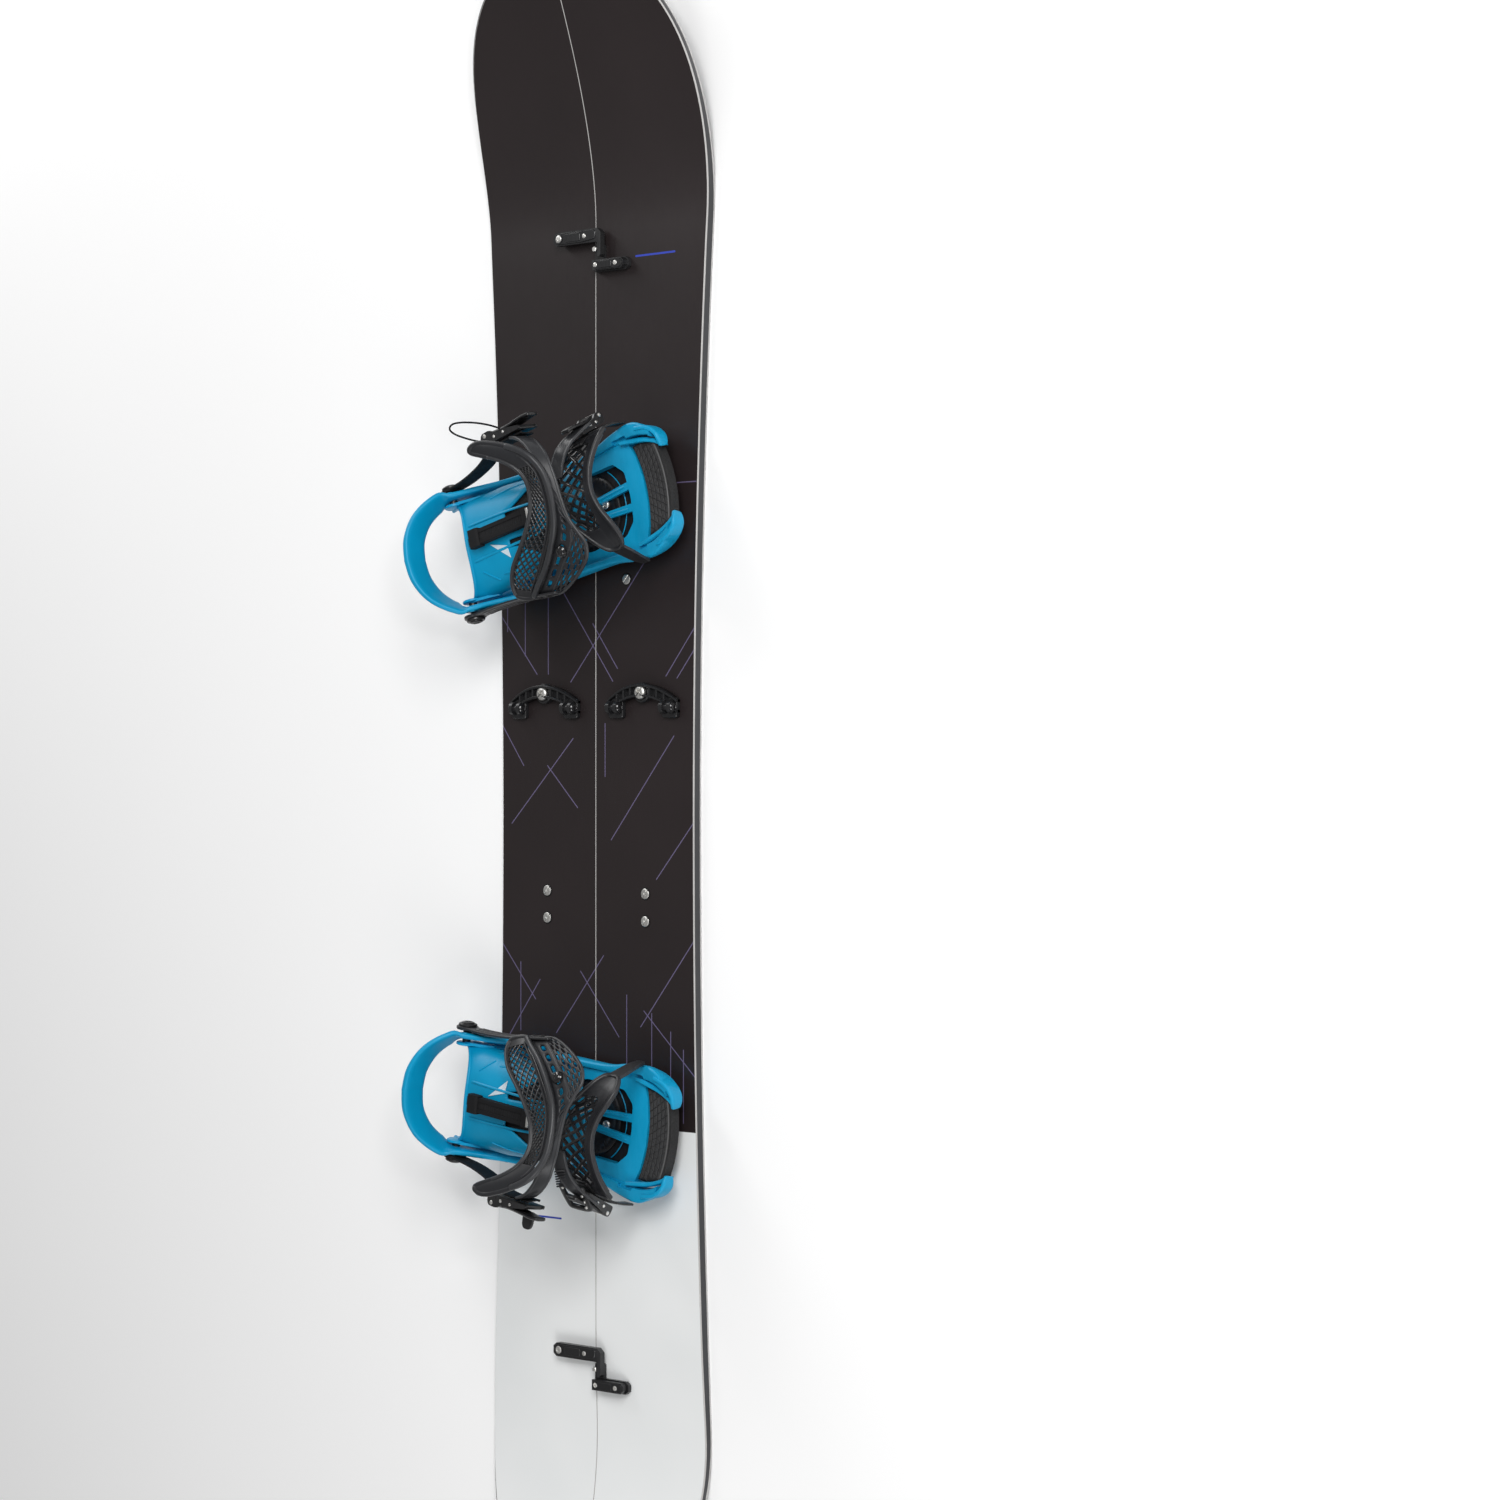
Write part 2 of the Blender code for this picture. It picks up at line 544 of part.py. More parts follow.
    # ankle strap: open frame over the instep, its arm on the inner side, its ladder on the outer
    keys = ((-12, -70.5, 84, 15), (10, -71, 96, 31), (30, -65, 109, 41), (46, -50, 120, 35),
            (57, -24, 127, 28), (59, 4, 129, 25), (54, 26, 131, 22), (38, 42, 136, 18),
            (16, 48, 143, 13), (-2, 47, 148, 8))
    run = spline(keys, 19)
    lean = [(1, 0, 0.05 + 0.2 * min(i / 18, 1)) for i in range(19)]
    across = [(lean[i], p[3], p[3]) for i, p in enumerate(run)]
    add("ankle_strap", *band([p[:3] for p in run], across, 4.0, cells=5, bulge=1.5,
                             solid=lambda r, c: not (c in (1, 3) and 2 <= r <= 14 and r % 3 != 1)),
        [STRAP], (PIVOT_U, 0, PIVOT_Z), smooth=True)
    run = spline(((PIVOT_U, -62.8, PIVOT_Z), (-96, -62.8, 62), (-62, -63.4, 70),
                  (-30, -64.4, 80), (-6, -65.0, 90)), 9)
    arm = add("ankle_arm", *band(run, [((0, 0, 1), 8.5, 8.5)] * 9, 3.2), [STRAP],
              (PIVOT_U, 0, PIVOT_Z))
    end = turned((PIVOT_U, -60.8, PIVOT_Z), (0, -1, 0), ((10, 0.4), (10, 3.6)), 18)
    join_or_cut(arm, [add("tool", *end, [STRAP])], "UNION")
    eye = turned((PIVOT_U, -50, PIVOT_Z), (0, -1, 0), ((4.3, 0), (4.3, 30)), 16)
    join_or_cut(arm, [add("tool", *eye, [STRAP])], "DIFFERENCE", smooth=True)

    # ladder strip: cross teeth on the outer face
    run = spline(((PIVOT_U, 62.4, PIVOT_Z), (-92, 62.8, 65), (-56, 64, 79), (-22, 65.5, 97),
                  (4, 65.8, 108), (36, 65.5, 111)), 31)
    rows_t, rows_b = [], []
    for i, point in enumerate(run):
        here = Vector(point)
        flow = (Vector(run[min(i + 1, 30)]) - Vector(run[max(i - 1, 0)])).normalized()
        out = Vector((0, 1, 0))
        out = (out - flow * out.dot(flow)).normalized()
        wide = flow.cross(out)
        tooth = 1.1 if i % 2 and i > 6 else 0.0
        half = 8.5
        rows_t.append([tuple(here + wide * w + out * (1.1 + tooth)) for w in (-half, half)])
        rows_b.append([tuple(here + wide * w - out * 1.3) for w in (-half, half)])
    ladder = add("ankle_ladder", *slab(rows_t, rows_b), [BLACK], (PIVOT_U, 0, PIVOT_Z))
    end = turned((PIVOT_U, 60.9, PIVOT_Z), (0, 1, 0), ((10, 0), (10, 2.4)), 18)
    join_or_cut(ladder, [add("tool", *end, [BLACK])], "UNION")
    eye = turned((PIVOT_U, 50, PIVOT_Z), (0, 1, 0), ((4.3, 0), (4.3, 30)), 16)
    join_or_cut(ladder, [add("tool", *eye, [BLACK])], "DIFFERENCE")
    ratchet(add, "ankle", (12, 69.4, 109.0), (32, 0, 3), (0, 1, 0.1), 54, 12)

    # toe strap: shorter open pad whose inner tail drops into the wing slot
    keys = ((68, 45, 73, 13), (70, 32, 84, 20), (70, 10, 92, 24), (68, -12, 93, 25),
            (69, -34, 86, 22), (72, -50, 70, 13), (74, -61.4, 48, 7.5), (TOE_PIVOT_U, -66.8, 26, 6.5))
    run = spline(keys, 17)
    across = [((1, 0, 0.1), p[3], p[3]) for p in run]
    add("toe_strap", *band([p[:3] for p in run], across, 3.6, cells=5, bulge=1.2,
                           solid=lambda r, c: not (c in (1, 3) and r in (2, 3, 5, 6, 8, 9))),
        [STRAP], (TOE_PIVOT_U, 0, TOE_PIVOT_Z), smooth=True)
    run = spline(((TOE_PIVOT_U, 67.0, 25), (73, 65.2, 42), (69.5, 59.2, 59), (70, 51.5, 75),
                  (71, 42, 87)), 17)
    rows_t, rows_b = [], []
    for i, point in enumerate(run):
        here = Vector(point)
        flow = (Vector(run[min(i + 1, 16)]) - Vector(run[max(i - 1, 0)])).normalized()
        wide = Vector((1, 0, 0))
        wide = (wide - flow * wide.dot(flow)).normalized()
        out = wide.cross(flow)
        tooth = 1.0 if i % 2 and i > 4 else 0.0
        rows_t.append([tuple(here + wide * w + out * (1.0 + tooth)) for w in (-7.5, 7.5)])
        rows_b.append([tuple(here + wide * w - out * 1.0) for w in (-7.5, 7.5)])
    add("toe_ladder", *slab(rows_t, rows_b), [BLACK], (TOE_PIVOT_U, 0, TOE_PIVOT_Z))
    ratchet(add, "toe", (69.5, 58.4, 68.0), (1, -7.5, 16), (0, 1, 0.45), 40, 11)

    if not mirror:
        loop = spline(((15, 76, 123.6), (7, 81.5, 126.5), (-5, 87.5, 132), (-17, 91.5, 138),
                       (-26, 92.5, 141.5), (-30.5, 89, 142), (-27, 83, 139.5), (-19, 76.5, 132.5),
                       (-12, 72, 124.5), (-9.5, 71, 121.2)), 37)
        rings = []
        for i, point in enumerate(loop):
            flow = (Vector(loop[min(i + 1, 36)]) - Vector(loop[max(i - 1, 0)])).normalized()
            a = flow.cross(Vector((0.3, 1, 0.2))).normalized()
            b = flow.cross(a)
            rings.append([tuple(Vector(point) + a * math.cos(k * math.pi / 3) * 0.9
                                + b * math.sin(k * math.pi / 3) * 0.9) for k in range(6)])
        add("release_wire", *loft(rings), [BLACK], (-20, 84, 130), smooth=True)


binding("front", FRONT_X, FRONT_ANGLE, False)
binding("rear", REAR_X, REAR_ANGLE, True)
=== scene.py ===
import math

import bmesh
import bpy
from mathutils import Matrix, Vector

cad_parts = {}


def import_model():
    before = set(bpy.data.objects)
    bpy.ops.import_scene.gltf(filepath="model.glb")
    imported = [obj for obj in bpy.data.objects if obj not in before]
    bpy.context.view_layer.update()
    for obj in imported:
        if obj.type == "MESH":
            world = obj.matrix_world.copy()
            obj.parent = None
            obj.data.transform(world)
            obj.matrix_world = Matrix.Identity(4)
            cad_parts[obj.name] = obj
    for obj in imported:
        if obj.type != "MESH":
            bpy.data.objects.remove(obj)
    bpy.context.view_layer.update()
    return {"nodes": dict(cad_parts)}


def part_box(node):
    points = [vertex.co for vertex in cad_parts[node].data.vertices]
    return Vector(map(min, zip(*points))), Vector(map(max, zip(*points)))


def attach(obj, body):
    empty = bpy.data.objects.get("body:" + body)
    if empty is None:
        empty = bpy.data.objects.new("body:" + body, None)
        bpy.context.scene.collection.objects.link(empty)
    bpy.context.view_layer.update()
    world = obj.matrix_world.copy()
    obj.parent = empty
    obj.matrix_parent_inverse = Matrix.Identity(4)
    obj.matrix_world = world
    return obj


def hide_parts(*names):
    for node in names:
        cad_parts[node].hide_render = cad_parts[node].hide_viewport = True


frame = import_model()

NODES = frame["nodes"]
MM = 0.001

# ---------------------------------------------------------------- dimensions shared with the CAD (metres)
HALF_LENGTH = 0.790
CORE_THICK, TIP_THICK = 0.0085, 0.0048
WIRE_RADIUS = 0.9 * MM
WAIST, WAIST_X = 0.1265, -0.03
NOSE_SIDECUT, TAIL_SIDECUT = 0.054, 0.042
NOSE_ROUND_X, TAIL_ROUND_X = 0.52, 0.58
NOSE_RISE_X, TAIL_RISE_X = 0.53, 0.60
SIDEWALL_SLANT = 0.0026
EDGE_WIDTH, EDGE_HEIGHT = 0.0020, 0.0019
GAP = 0.0003
COLOUR_BREAK_X = -0.320
BRACKET_X = 0.079
HALF_CENTRE_Y = 0.0640
NOSE_CLIP_X, TAIL_CLIP_X = 0.508, -0.552

# binding dimensions (millimetres): u heel to toe, v to the outer side, z up from the topsheet
BINDINGS = {"front": (0.2550, 15.0, False), "rear": (-0.3105, -8.0, True)}
PIVOT_U, PIVOT_Z = -124.0, 58.0
TOE_PIVOT_U = 76.0
PLATE_Z = 12.8
DISC_U, DISC_R = 10.0, 36.0

# ---------------------------------------------------------------- camera
TILT = math.radians(41.0)
RIGHT = Vector((0, -math.cos(TILT), -math.sin(TILT)))
UP = Vector((1, 0, 0))
BACK = RIGHT.cross(UP)
AIM = Vector((0.035, 0, CORE_THICK)) + RIGHT * 0.1464
camera = bpy.data.objects.new("camera", bpy.data.cameras.new("camera"))
camera.data.lens, camera.data.sensor_width = 85.9, 36.0
camera.matrix_world = Matrix.Translation(AIM + BACK * 3.4) @ Matrix(
    (RIGHT, UP, BACK)).transposed().to_4x4()
bpy.context.scene.collection.objects.link(camera)
bpy.context.scene.camera = camera
bpy.context.scene.view_settings.view_transform = "Standard"


# ---------------------------------------------------------------- material helpers
class Nodes:
    """A short way to wire a material: add(type, inputs, settings) and the Principled shader."""

    def __init__(self, name):
        self.mat = bpy.data.materials.new(name)
        self.mat.use_nodes = True
        self.tree = self.mat.node_tree
        self.shader = self.tree.nodes["Principled BSDF"]

    def add(self, kind, inputs=None, **settings):
        node = self.tree.nodes.new(kind)
        for key, value in settings.items():
            setattr(node, key, value)
        for key, value in (inputs or {}).items():
            self.plug(node.inputs[key], value)
        return node

    def plug(self, socket, value):
        if isinstance(value, bpy.types.NodeSocket):
            self.tree.links.new(value, socket)
        else:
            socket.default_value = value

    def math(self, operation, a, b=0.0, clamp=False):
        node = self.add("ShaderNodeMath", {0: a, 1: b}, operation=operation, use_clamp=clamp)
        return node.outputs[0]

    def vector(self, operation, a, b=(0, 0, 0), output=0):
        return self.add("ShaderNodeVectorMath", {0: a, 1: b}, operation=operation).outputs[output]

    def place(self):
        return self.add("ShaderNodeTexCoord").outputs["Object"]

    def noise(self, scale, detail=3.0, rough=0.5, stretch=None):
        spot = self.place()
        if stretch:
            spot = self.add("ShaderNodeMapping", {"Vector": spot, "Scale": stretch}).outputs[0]
        return self.add("ShaderNodeTexNoise", {"Vector": spot, "Scale": scale, "Detail": detail,
                                               "Roughness": rough}).outputs["Fac"]

    def spread(self, value, low, high, out_low, out_high):
        return self.add("ShaderNodeMapRange", {"Value": value, "From Min": low, "From Max": high,
                                               "To Min": out_low, "To Max": out_high}).outputs[0]

    def mix(self, factor, a, b):
        node = self.add("ShaderNodeMix", data_type="RGBA")
        self.plug(node.inputs["Factor"], factor)
        self.plug(node.inputs[6], a)
        self.plug(node.inputs[7], b)
        return node.outputs[2]

    def bump(self, height, strength, distance):
        return self.add("ShaderNodeBump", {"Height": height, "Strength": strength,
                                           "Distance": distance}).outputs[0]


def tone(colour, factor):
    """A colour made lighter or darker, with full alpha."""
    return tuple(min(c * factor, 1.0) for c in colour) + (1.0,)


def moulded(name, colour, rough, grain=900.0, bump=0.12, mottle=0.10, worn=0.25, metal=0.0,
            coat=0.0, gloss=0.5):
    """Injection-moulded plastic: fine pebble grain, slight mottling, brighter rubbed edges."""
    n = Nodes(name)
    scuff = 0.10
    broad = n.noise(14.0, 4.0, 0.6)
    fine = n.noise(grain, 2.0, 0.5)
    streak = n.noise(60.0, 6.0, 0.7, stretch=(1.0, 5.0, 2.0))
    base = n.mix(n.spread(broad, 0.3, 0.7, 0.0, 1.0), tone(colour, 1 - mottle),
                 tone(colour, 1 + mottle))
    point = n.add("ShaderNodeNewGeometry").outputs["Pointiness"]
    rub = n.math("MULTIPLY", n.spread(point, 0.53, 0.60, 0.0, worn),
                 n.spread(streak, 0.35, 0.65, 0.3, 1.0), clamp=True)
    edge = tuple(min(c * 1.35 + 0.035, 1.0) for c in colour) + (1.0,)
    n.plug(n.shader.inputs["Base Color"], n.mix(rub, base, edge))
    n.plug(n.shader.inputs["Roughness"], n.math(
        "ADD", n.spread(streak, 0.3, 0.75, rough - scuff * 0.5, rough + scuff), n.math(
            "MULTIPLY", rub, 0.12)))
    n.plug(n.shader.inputs["Normal"], n.bump(fine, bump, 0.0002))
    n.shader.inputs["Metallic"].default_value = metal
    n.shader.inputs["Coat Weight"].default_value = coat
    n.shader.inputs["Specular IOR Level"].default_value = gloss
    return n.mat


def brushed(name, colour, rough, stretch, scale=300.0):
    """Machined or ground metal with fine directional lines."""
    n = Nodes(name)
    lines = n.noise(scale, 4.0, 0.6, stretch=stretch)
    broad = n.noise(30.0, 3.0, 0.6)
    n.plug(n.shader.inputs["Base Color"], n.mix(n.spread(broad, 0.3, 0.7, 0.0, 1.0),
                                                tone(colour, 0.86), tone(colour, 1.08)))
    n.plug(n.shader.inputs["Roughness"], n.spread(lines, 0.3, 0.7, rough - 0.06, rough + 0.12))
    n.plug(n.shader.inputs["Normal"], n.bump(lines, 0.10, 0.0001))
    n.shader.inputs["Metallic"].default_value = 1.0
    return n.mat


# thin printed lines: (x0, y0, x1, y1) on the topsheet, a plain pattern of verticals and diagonals
LILAC_LINES = (
    (0.186, 0.094, 0.126, 0.094), (0.182, 0.063, 0.108, 0.063), (0.178, 0.118, 0.150, 0.118),
    (0.166, 0.127, 0.108, 0.078), (0.190, 0.046, 0.100, -0.022), (0.236, -0.084, 0.100, 0.033),
    (0.284, -0.128, 0.284, -0.104), (0.150, -0.127, 0.104, -0.090), (0.130, -0.127, 0.102, -0.104),
    (0.155, 0.004, 0.112, -0.028), (0.062, 0.127, 0.020, 0.096), (0.046, 0.030, -0.036, 0.112),
    (0.060, -0.012, 0.010, -0.012), (0.048, -0.100, -0.050, -0.020), (0.020, 0.064, -0.020, 0.024),
    (-0.030, -0.127, -0.086, -0.078), (-0.140, -0.127, -0.225, -0.058), (-0.150, 0.127, -0.205, 0.080),
    (-0.160, -0.010, -0.236, 0.052), (-0.176, 0.020, -0.236, -0.030), (-0.196, -0.040, -0.300, -0.040),
    (-0.212, -0.072, -0.300, -0.072), (-0.210, -0.062, -0.268, -0.126), (-0.228, -0.096, -0.312, -0.096),
    (-0.244, -0.112, -0.312, -0.112), (-0.170, 0.100, -0.236, 0.100), (-0.186, 0.074, -0.250, 0.122),
)
ACCENT_LINES = ((0.4995, -0.0520, 0.4995, -0.1010), (-0.4140, 0.0460, -0.4140, 0.0920))


def nearest_line(n, spot, lines):
    """Distance from a point to the nearest of some line pieces."""
    best = None
    for x0, y0, x1, y1 in lines:
        run = Vector((x1 - x0, y1 - y0, 0))
        rel = n.vector("SUBTRACT", spot, (x0, y0, 0))
        share = n.math("DIVIDE", n.vector("DOT_PRODUCT", rel, tuple(run), output=1),
                       run.length_squared, clamp=True)
        ahead = n.add("ShaderNodeVectorMath", {0: tuple(run), "Scale": share},
                      operation="SCALE").outputs[0]
        away = n.vector("DISTANCE", rel, ahead, output=1)
        best = away if best is None else n.math("MINIMUM", best, away)
    return best


def topsheet():
    """Satin printed sheet: near-black ahead of the colour break, off-white behind it."""
    n = Nodes("topsheet_print")
    place = n.place()
    flat = n.vector("MULTIPLY", place, (1, 1, 0))
    x = n.add("ShaderNodeSeparateXYZ", {0: place}).outputs[0]
    cloud = n.noise(5.0, 3.0, 0.5)
    fine = n.noise(1400.0, 2.0, 0.5)
    scratch = n.noise(70.0, 7.0, 0.75, stretch=(1.0, 14.0, 1.0))
    dark = n.mix(n.spread(cloud, 0.3, 0.7, 0.0, 1.0), (0.0150, 0.0108, 0.0112, 1),
                 (0.0195, 0.0140, 0.0146, 1))
    pale = n.mix(n.spread(cloud, 0.3, 0.7, 0.0, 1.0), (0.760, 0.778, 0.778, 1),
                 (0.830, 0.838, 0.836, 1))
    lilac = n.spread(nearest_line(n, flat, LILAC_LINES), 0.00035, 0.00065, 0.85, 0.0)
    base = n.mix(lilac, dark, (0.150, 0.125, 0.235, 1))
    behind = n.spread(x, COLOUR_BREAK_X - 0.0002, COLOUR_BREAK_X + 0.0002, 1.0, 0.0)
    base = n.mix(behind, base, pale)
    accent = n.spread(nearest_line(n, flat, ACCENT_LINES), 0.0007, 0.0011, 1.0, 0.0)
    base = n.mix(accent, base, (0.030, 0.055, 0.420, 1))
    n.plug(n.shader.inputs["Base Color"], base)
    n.plug(n.shader.inputs["Roughness"], n.spread(scratch, 0.35, 0.75, 0.36, 0.50))
    n.plug(n.shader.inputs["Normal"], n.bump(fine, 0.06, 0.0001))
    n.shader.inputs["Specular IOR Level"].default_value = 0.35
    return n.mat


def pad_foam():
    """Dense ribbed foam rubber."""
    n = Nodes("pad_foam")
    cells = n.add("ShaderNodeTexVoronoi", {"Vector": n.place(), "Scale": 700.0}).outputs["Distance"]
    broad = n.noise(40.0, 4.0, 0.6)
    n.plug(n.shader.inputs["Base Color"], n.mix(n.spread(broad, 0.3, 0.7, 0.0, 1.0),
                                                (0.0085, 0.0085, 0.0090, 1), (0.016, 0.016, 0.017, 1)))
    n.plug(n.shader.inputs["Roughness"], n.spread(cells, 0.1, 0.7, 0.72, 0.92))
    n.plug(n.shader.inputs["Normal"], n.bump(cells, 0.5, 0.0003))
    return n.mat


TOP = topsheet()
EDGE_LINE = moulded("topsheet_edge", (0.42, 0.41, 0.40), 0.45, bump=0.05, worn=0.0)
SIDEWALL = moulded("sidewall", (0.040, 0.040, 0.043), 0.50, grain=500.0, bump=0.10, worn=0.0)
BASE = moulded("running_base", (0.012, 0.012, 0.013), 0.42, grain=200.0, bump=0.05, worn=0.0)
STEEL = brushed("edge_steel", (0.62, 0.61, 0.60), 0.30, (1.0, 24.0, 24.0), 160.0)
BLUE = moulded("moulded_blue", (0.0004, 0.290, 0.520), 0.36, bump=0.10, mottle=0.05, worn=0.20,
               gloss=0.28)
BLACK = moulded("moulded_black", (0.0105, 0.0105, 0.0115), 0.30, bump=0.10, mottle=0.15, worn=0.35)
STRAP = moulded("strap_charcoal", (0.0150, 0.0155, 0.0180), 0.38, grain=700.0, bump=0.10,
                mottle=0.12, worn=0.30)
LATTICE = moulded("strap_lattice", (0.0100, 0.0102, 0.0115), 0.26, grain=700.0, bump=0.06,
                  mottle=0.12, worn=0.25)
ALLOY = moulded("track_alloy", (0.022, 0.022, 0.024), 0.36, bump=0.08, metal=0.7, worn=0.5)
RIM = moulded("strap_rim", (0.026, 0.027, 0.030), 0.34, grain=700.0, bump=0.08, mottle=0.10,
              worn=0.35)
SILVER = brushed("screw_silver", (0.78, 0.77, 0.74), 0.40, (1.0, 1.0, 1.0), 500.0)
# pale blue-white for a flat patch on the highback: a painted reflection of the glossy blue shell's sheen
PAINTED_SHEEN = moulded("painted_reflection_pale", (0.62, 0.72, 0.78), 0.35, bump=0.05, worn=0.0)
GLOSS = moulded("gloss_black", (0.008, 0.008, 0.009), 0.10, bump=0.02, mottle=0.05, worn=0.2,
                coat=0.6)
RUBBER = moulded("rubber_tread", (0.020, 0.020, 0.021), 0.62, grain=1200.0, bump=0.25, mottle=0.2,
                 worn=0.4)
PIPING = moulded("rubber_piping", (0.060, 0.060, 0.061), 0.50, grain=900.0, bump=0.15, worn=0.3)
DARK = moulded("matt_black", (0.0090, 0.0090, 0.0100), 0.66, grain=800.0, bump=0.15, mottle=0.15,
               worn=0.3, gloss=0.16)
FOAM = pad_foam()


# ---------------------------------------------------------------- mesh helpers
def merge(*parts):
    """Several (verts, faces) as one."""
    verts, faces = [], []
    for part_verts, part_faces in parts:
        start = len(verts)
        verts += list(part_verts)
        faces += [tuple(start + i for i in face) for face in part_faces]
    return verts, faces


def loft(rings, closed=False):
    size, verts, faces = len(rings[0]), [tuple(p) for ring in rings for p in ring], []
    count = len(rings)
    for i in range(count if closed else count - 1):
        a, b = i * size, ((i + 1) % count) * size
        for j in range(size):
            k = (j + 1) % size
            faces.append((a + j, a + k, b + k, b + j))
    if not closed:
        faces += [tuple(range(size)), tuple(range((count - 1) * size, count * size))]
    return verts, faces


def spline(points, count, closed=False):
    """Catmull-Rom run through the control points (tuples of any length)."""
    pts = list(points)
    pts = [pts[-1]] + pts + pts[:2] if closed else [pts[0]] + pts + [pts[-1]]
    spans, out = len(pts) - 3, []
    for i in range(count):
        t = i * spans / (count if closed else count - 1)
        k = min(int(t), spans - 1)
        t -= k
        a, b, c, d = pts[k:k + 4]
        out.append(tuple(0.5 * (2 * q + (r - p) * t + (2 * p - 5 * q + 4 * r - s) * t * t
                                + (3 * q - p - 3 * r + s) * t ** 3)
                         for p, q, r, s in zip(a, b, c, d)))
    return out


def slab(top, bottom, solid=None):
    """Closed shell between two equal grids; cells where solid is False are left open."""
    rows, cols = len(top), len(top[0])
    solid = solid or (lambda r, c: True)
    index, verts, faces = {}, [], []

    def corner(level, r, c):
        key = (level, r, c)
        if key not in index:
            index[key] = len(verts)
            verts.append(tuple((top if level else bottom)[r][c]))
        return index[key]

    def filled(r, c):
        return 0 <= r < rows - 1 and 0 <= c < cols - 1 and solid(r, c)

    for r in range(rows - 1):
        for c in range(cols - 1):
            if not filled(r, c):
                continue
            ring = ((r, c), (r + 1, c), (r + 1, c + 1), (r, c + 1))
            faces.append(tuple(corner(1, *p) for p in ring))
            faces.append(tuple(corner(0, *p) for p in reversed(ring)))
            for (p, q), beyond in zip(zip(ring, ring[1:] + ring[:1]),
                                      ((r, c - 1), (r + 1, c), (r, c + 1), (r - 1, c))):
                if not filled(*beyond):
                    faces.append((corner(0, *p), corner(0, *q), corner(1, *q), corner(1, *p)))
    return verts, faces


def sweep(points, outs, half_w, half_n, power=1.0, segments=10, closed=False, cap=True):
    """Rounded bar along points: outs face away from the surface it lies on."""
    points, outs = [Vector(p) for p in points], [Vector(o) for o in outs]
    count = len(points)
    wides = half_w if isinstance(half_w, (list, tuple)) else [half_w] * count
    thicks = half_n if isinstance(half_n, (list, tuple)) else [half_n] * count
    rings = []

    def ring(i, scale, shift):
        ahead = points[(i + 1) % count if closed else min(i + 1, count - 1)]
        behind = points[i - 1 if closed else max(i - 1, 0)]
        flow = (ahead - behind).normalized()
        out = (outs[i] - flow * outs[i].dot(flow)).normalized()
        side = flow.cross(out)
        here = points[i] + flow * shift
        row = []
        for k in range(segments):
            angle = 2 * math.pi * (k + 0.5) / segments
            c, s = math.cos(angle), math.sin(angle)
            row.append(tuple(here + side * math.copysign(abs(c) ** power, c) * wides[i] * scale
                             + out * math.copysign(abs(s) ** power, s) * thicks[i] * scale))
        return row

    if cap and not closed:
        reach = min(wides[0], thicks[0])
        rings.append(ring(0, 0.55, -reach * 0.55))
        rings.append(ring(0, 0.86, -reach * 0.32))
    rings += [ring(i, 1.0, 0.0) for i in range(count)]
    if cap and not closed:
        reach = min(wides[-1], thicks[-1])
        rings.append(ring(count - 1, 0.86, reach * 0.32))
        rings.append(ring(count - 1, 0.55, reach * 0.55))
    return loft(rings, closed)


def sweep_on(spots, *size, **options):
    """A rounded bar along (point, outward direction) pairs."""
    return sweep([p for p, o in spots], [o for p, o in spots], *size, **options)


def prism(outline, z0, z1):
    return loft([[(x, y, z) for x, y in outline] for z in (z0, z1)])


def across(outline, v0, v1):
    """An outline in u and z, extruded from v0 to v1."""
    return loft([[(u, v, z) for u, z in outline] for v in (v0, v1)])


def disc_points(cx, cy, radius, count):
    return [(cx + radius * math.cos(2 * math.pi * i / count),
             cy + radius * math.sin(2 * math.pi * i / count)) for i in range(count)]


def circle(centre, axis, radius, count, shift=0.0):
    """Points round an axis, a shift along it from the centre."""
    axis = Vector(axis).normalized()
    side = axis.orthogonal().normalized()
    other = axis.cross(side)
    return [Vector(centre) + axis * shift + (side * math.cos(2 * math.pi * i / count)
                                             + other * math.sin(2 * math.pi * i / count)) * radius
            for i in range(count)]


def turned(centre, axis, profile, count=24):
    """Round solid about an axis: profile is a run of (radius, distance along the axis)."""
    return loft([circle(centre, axis, radius, count, d) for radius, d in profile])


def ring_of(centre, axis, radius, half_w, half_n, count=40, segments=8):
    """A round ring about an axis."""
    return sweep(circle(centre, axis, radius, count), [Vector(axis).normalized()] * count, half_w,
                 half_n, 1.0, segments, closed=True)


def screw_head(centre, axis, radius, height, recess="cross", count=28):
    """Domed head with a sunk cross, slot or hexagon, as a height field over a disc."""
    axis = Vector(axis).normalized()
    side = axis.orthogonal().normalized()
    other = axis.cross(side)
    radii = [0.0, 0.12, 0.24, 0.34, 0.44, 0.54, 0.66, 0.80, 0.92, 1.0]
    rings = [circle(centre, axis, radius, count)]
    for q in reversed(radii[1:]):
        row = []
        for i in range(count):
            angle = 2 * math.pi * i / count
            x, y = q * math.cos(angle), q * math.sin(angle)
            dome = height * (1 - 0.45 * q ** 4) if q < 1.0 else height * 0.45
            sunk = ((recess == "cross" and min(abs(x), abs(y)) < 0.13 and q < 0.60)
                    or (recess == "slot" and abs(x) < 0.13 and q < 0.93)
                    or (recess == "hex" and q < 0.45))
            lift = dome - (height * 0.55 if sunk else 0.0)
            row.append(tuple(Vector(centre) + (side * x + other * y) * radius + axis * lift))
        rings.append(row)
    low = height - (height * 0.55 if recess != "plain" else 0.0)
    verts, faces = loft(rings)
    faces.pop()
    last = len(verts) - count
    verts.append(tuple(Vector(centre) + axis * low))
    faces += [(last + i, last + (i + 1) % count, len(verts) - 1) for i in range(count)]
    return verts, faces


def faces_outward(mesh):
    work = bmesh.new()
    work.from_mesh(mesh)
    bmesh.ops.recalc_face_normals(work, faces=work.faces)
    work.to_mesh(mesh)
    work.free()


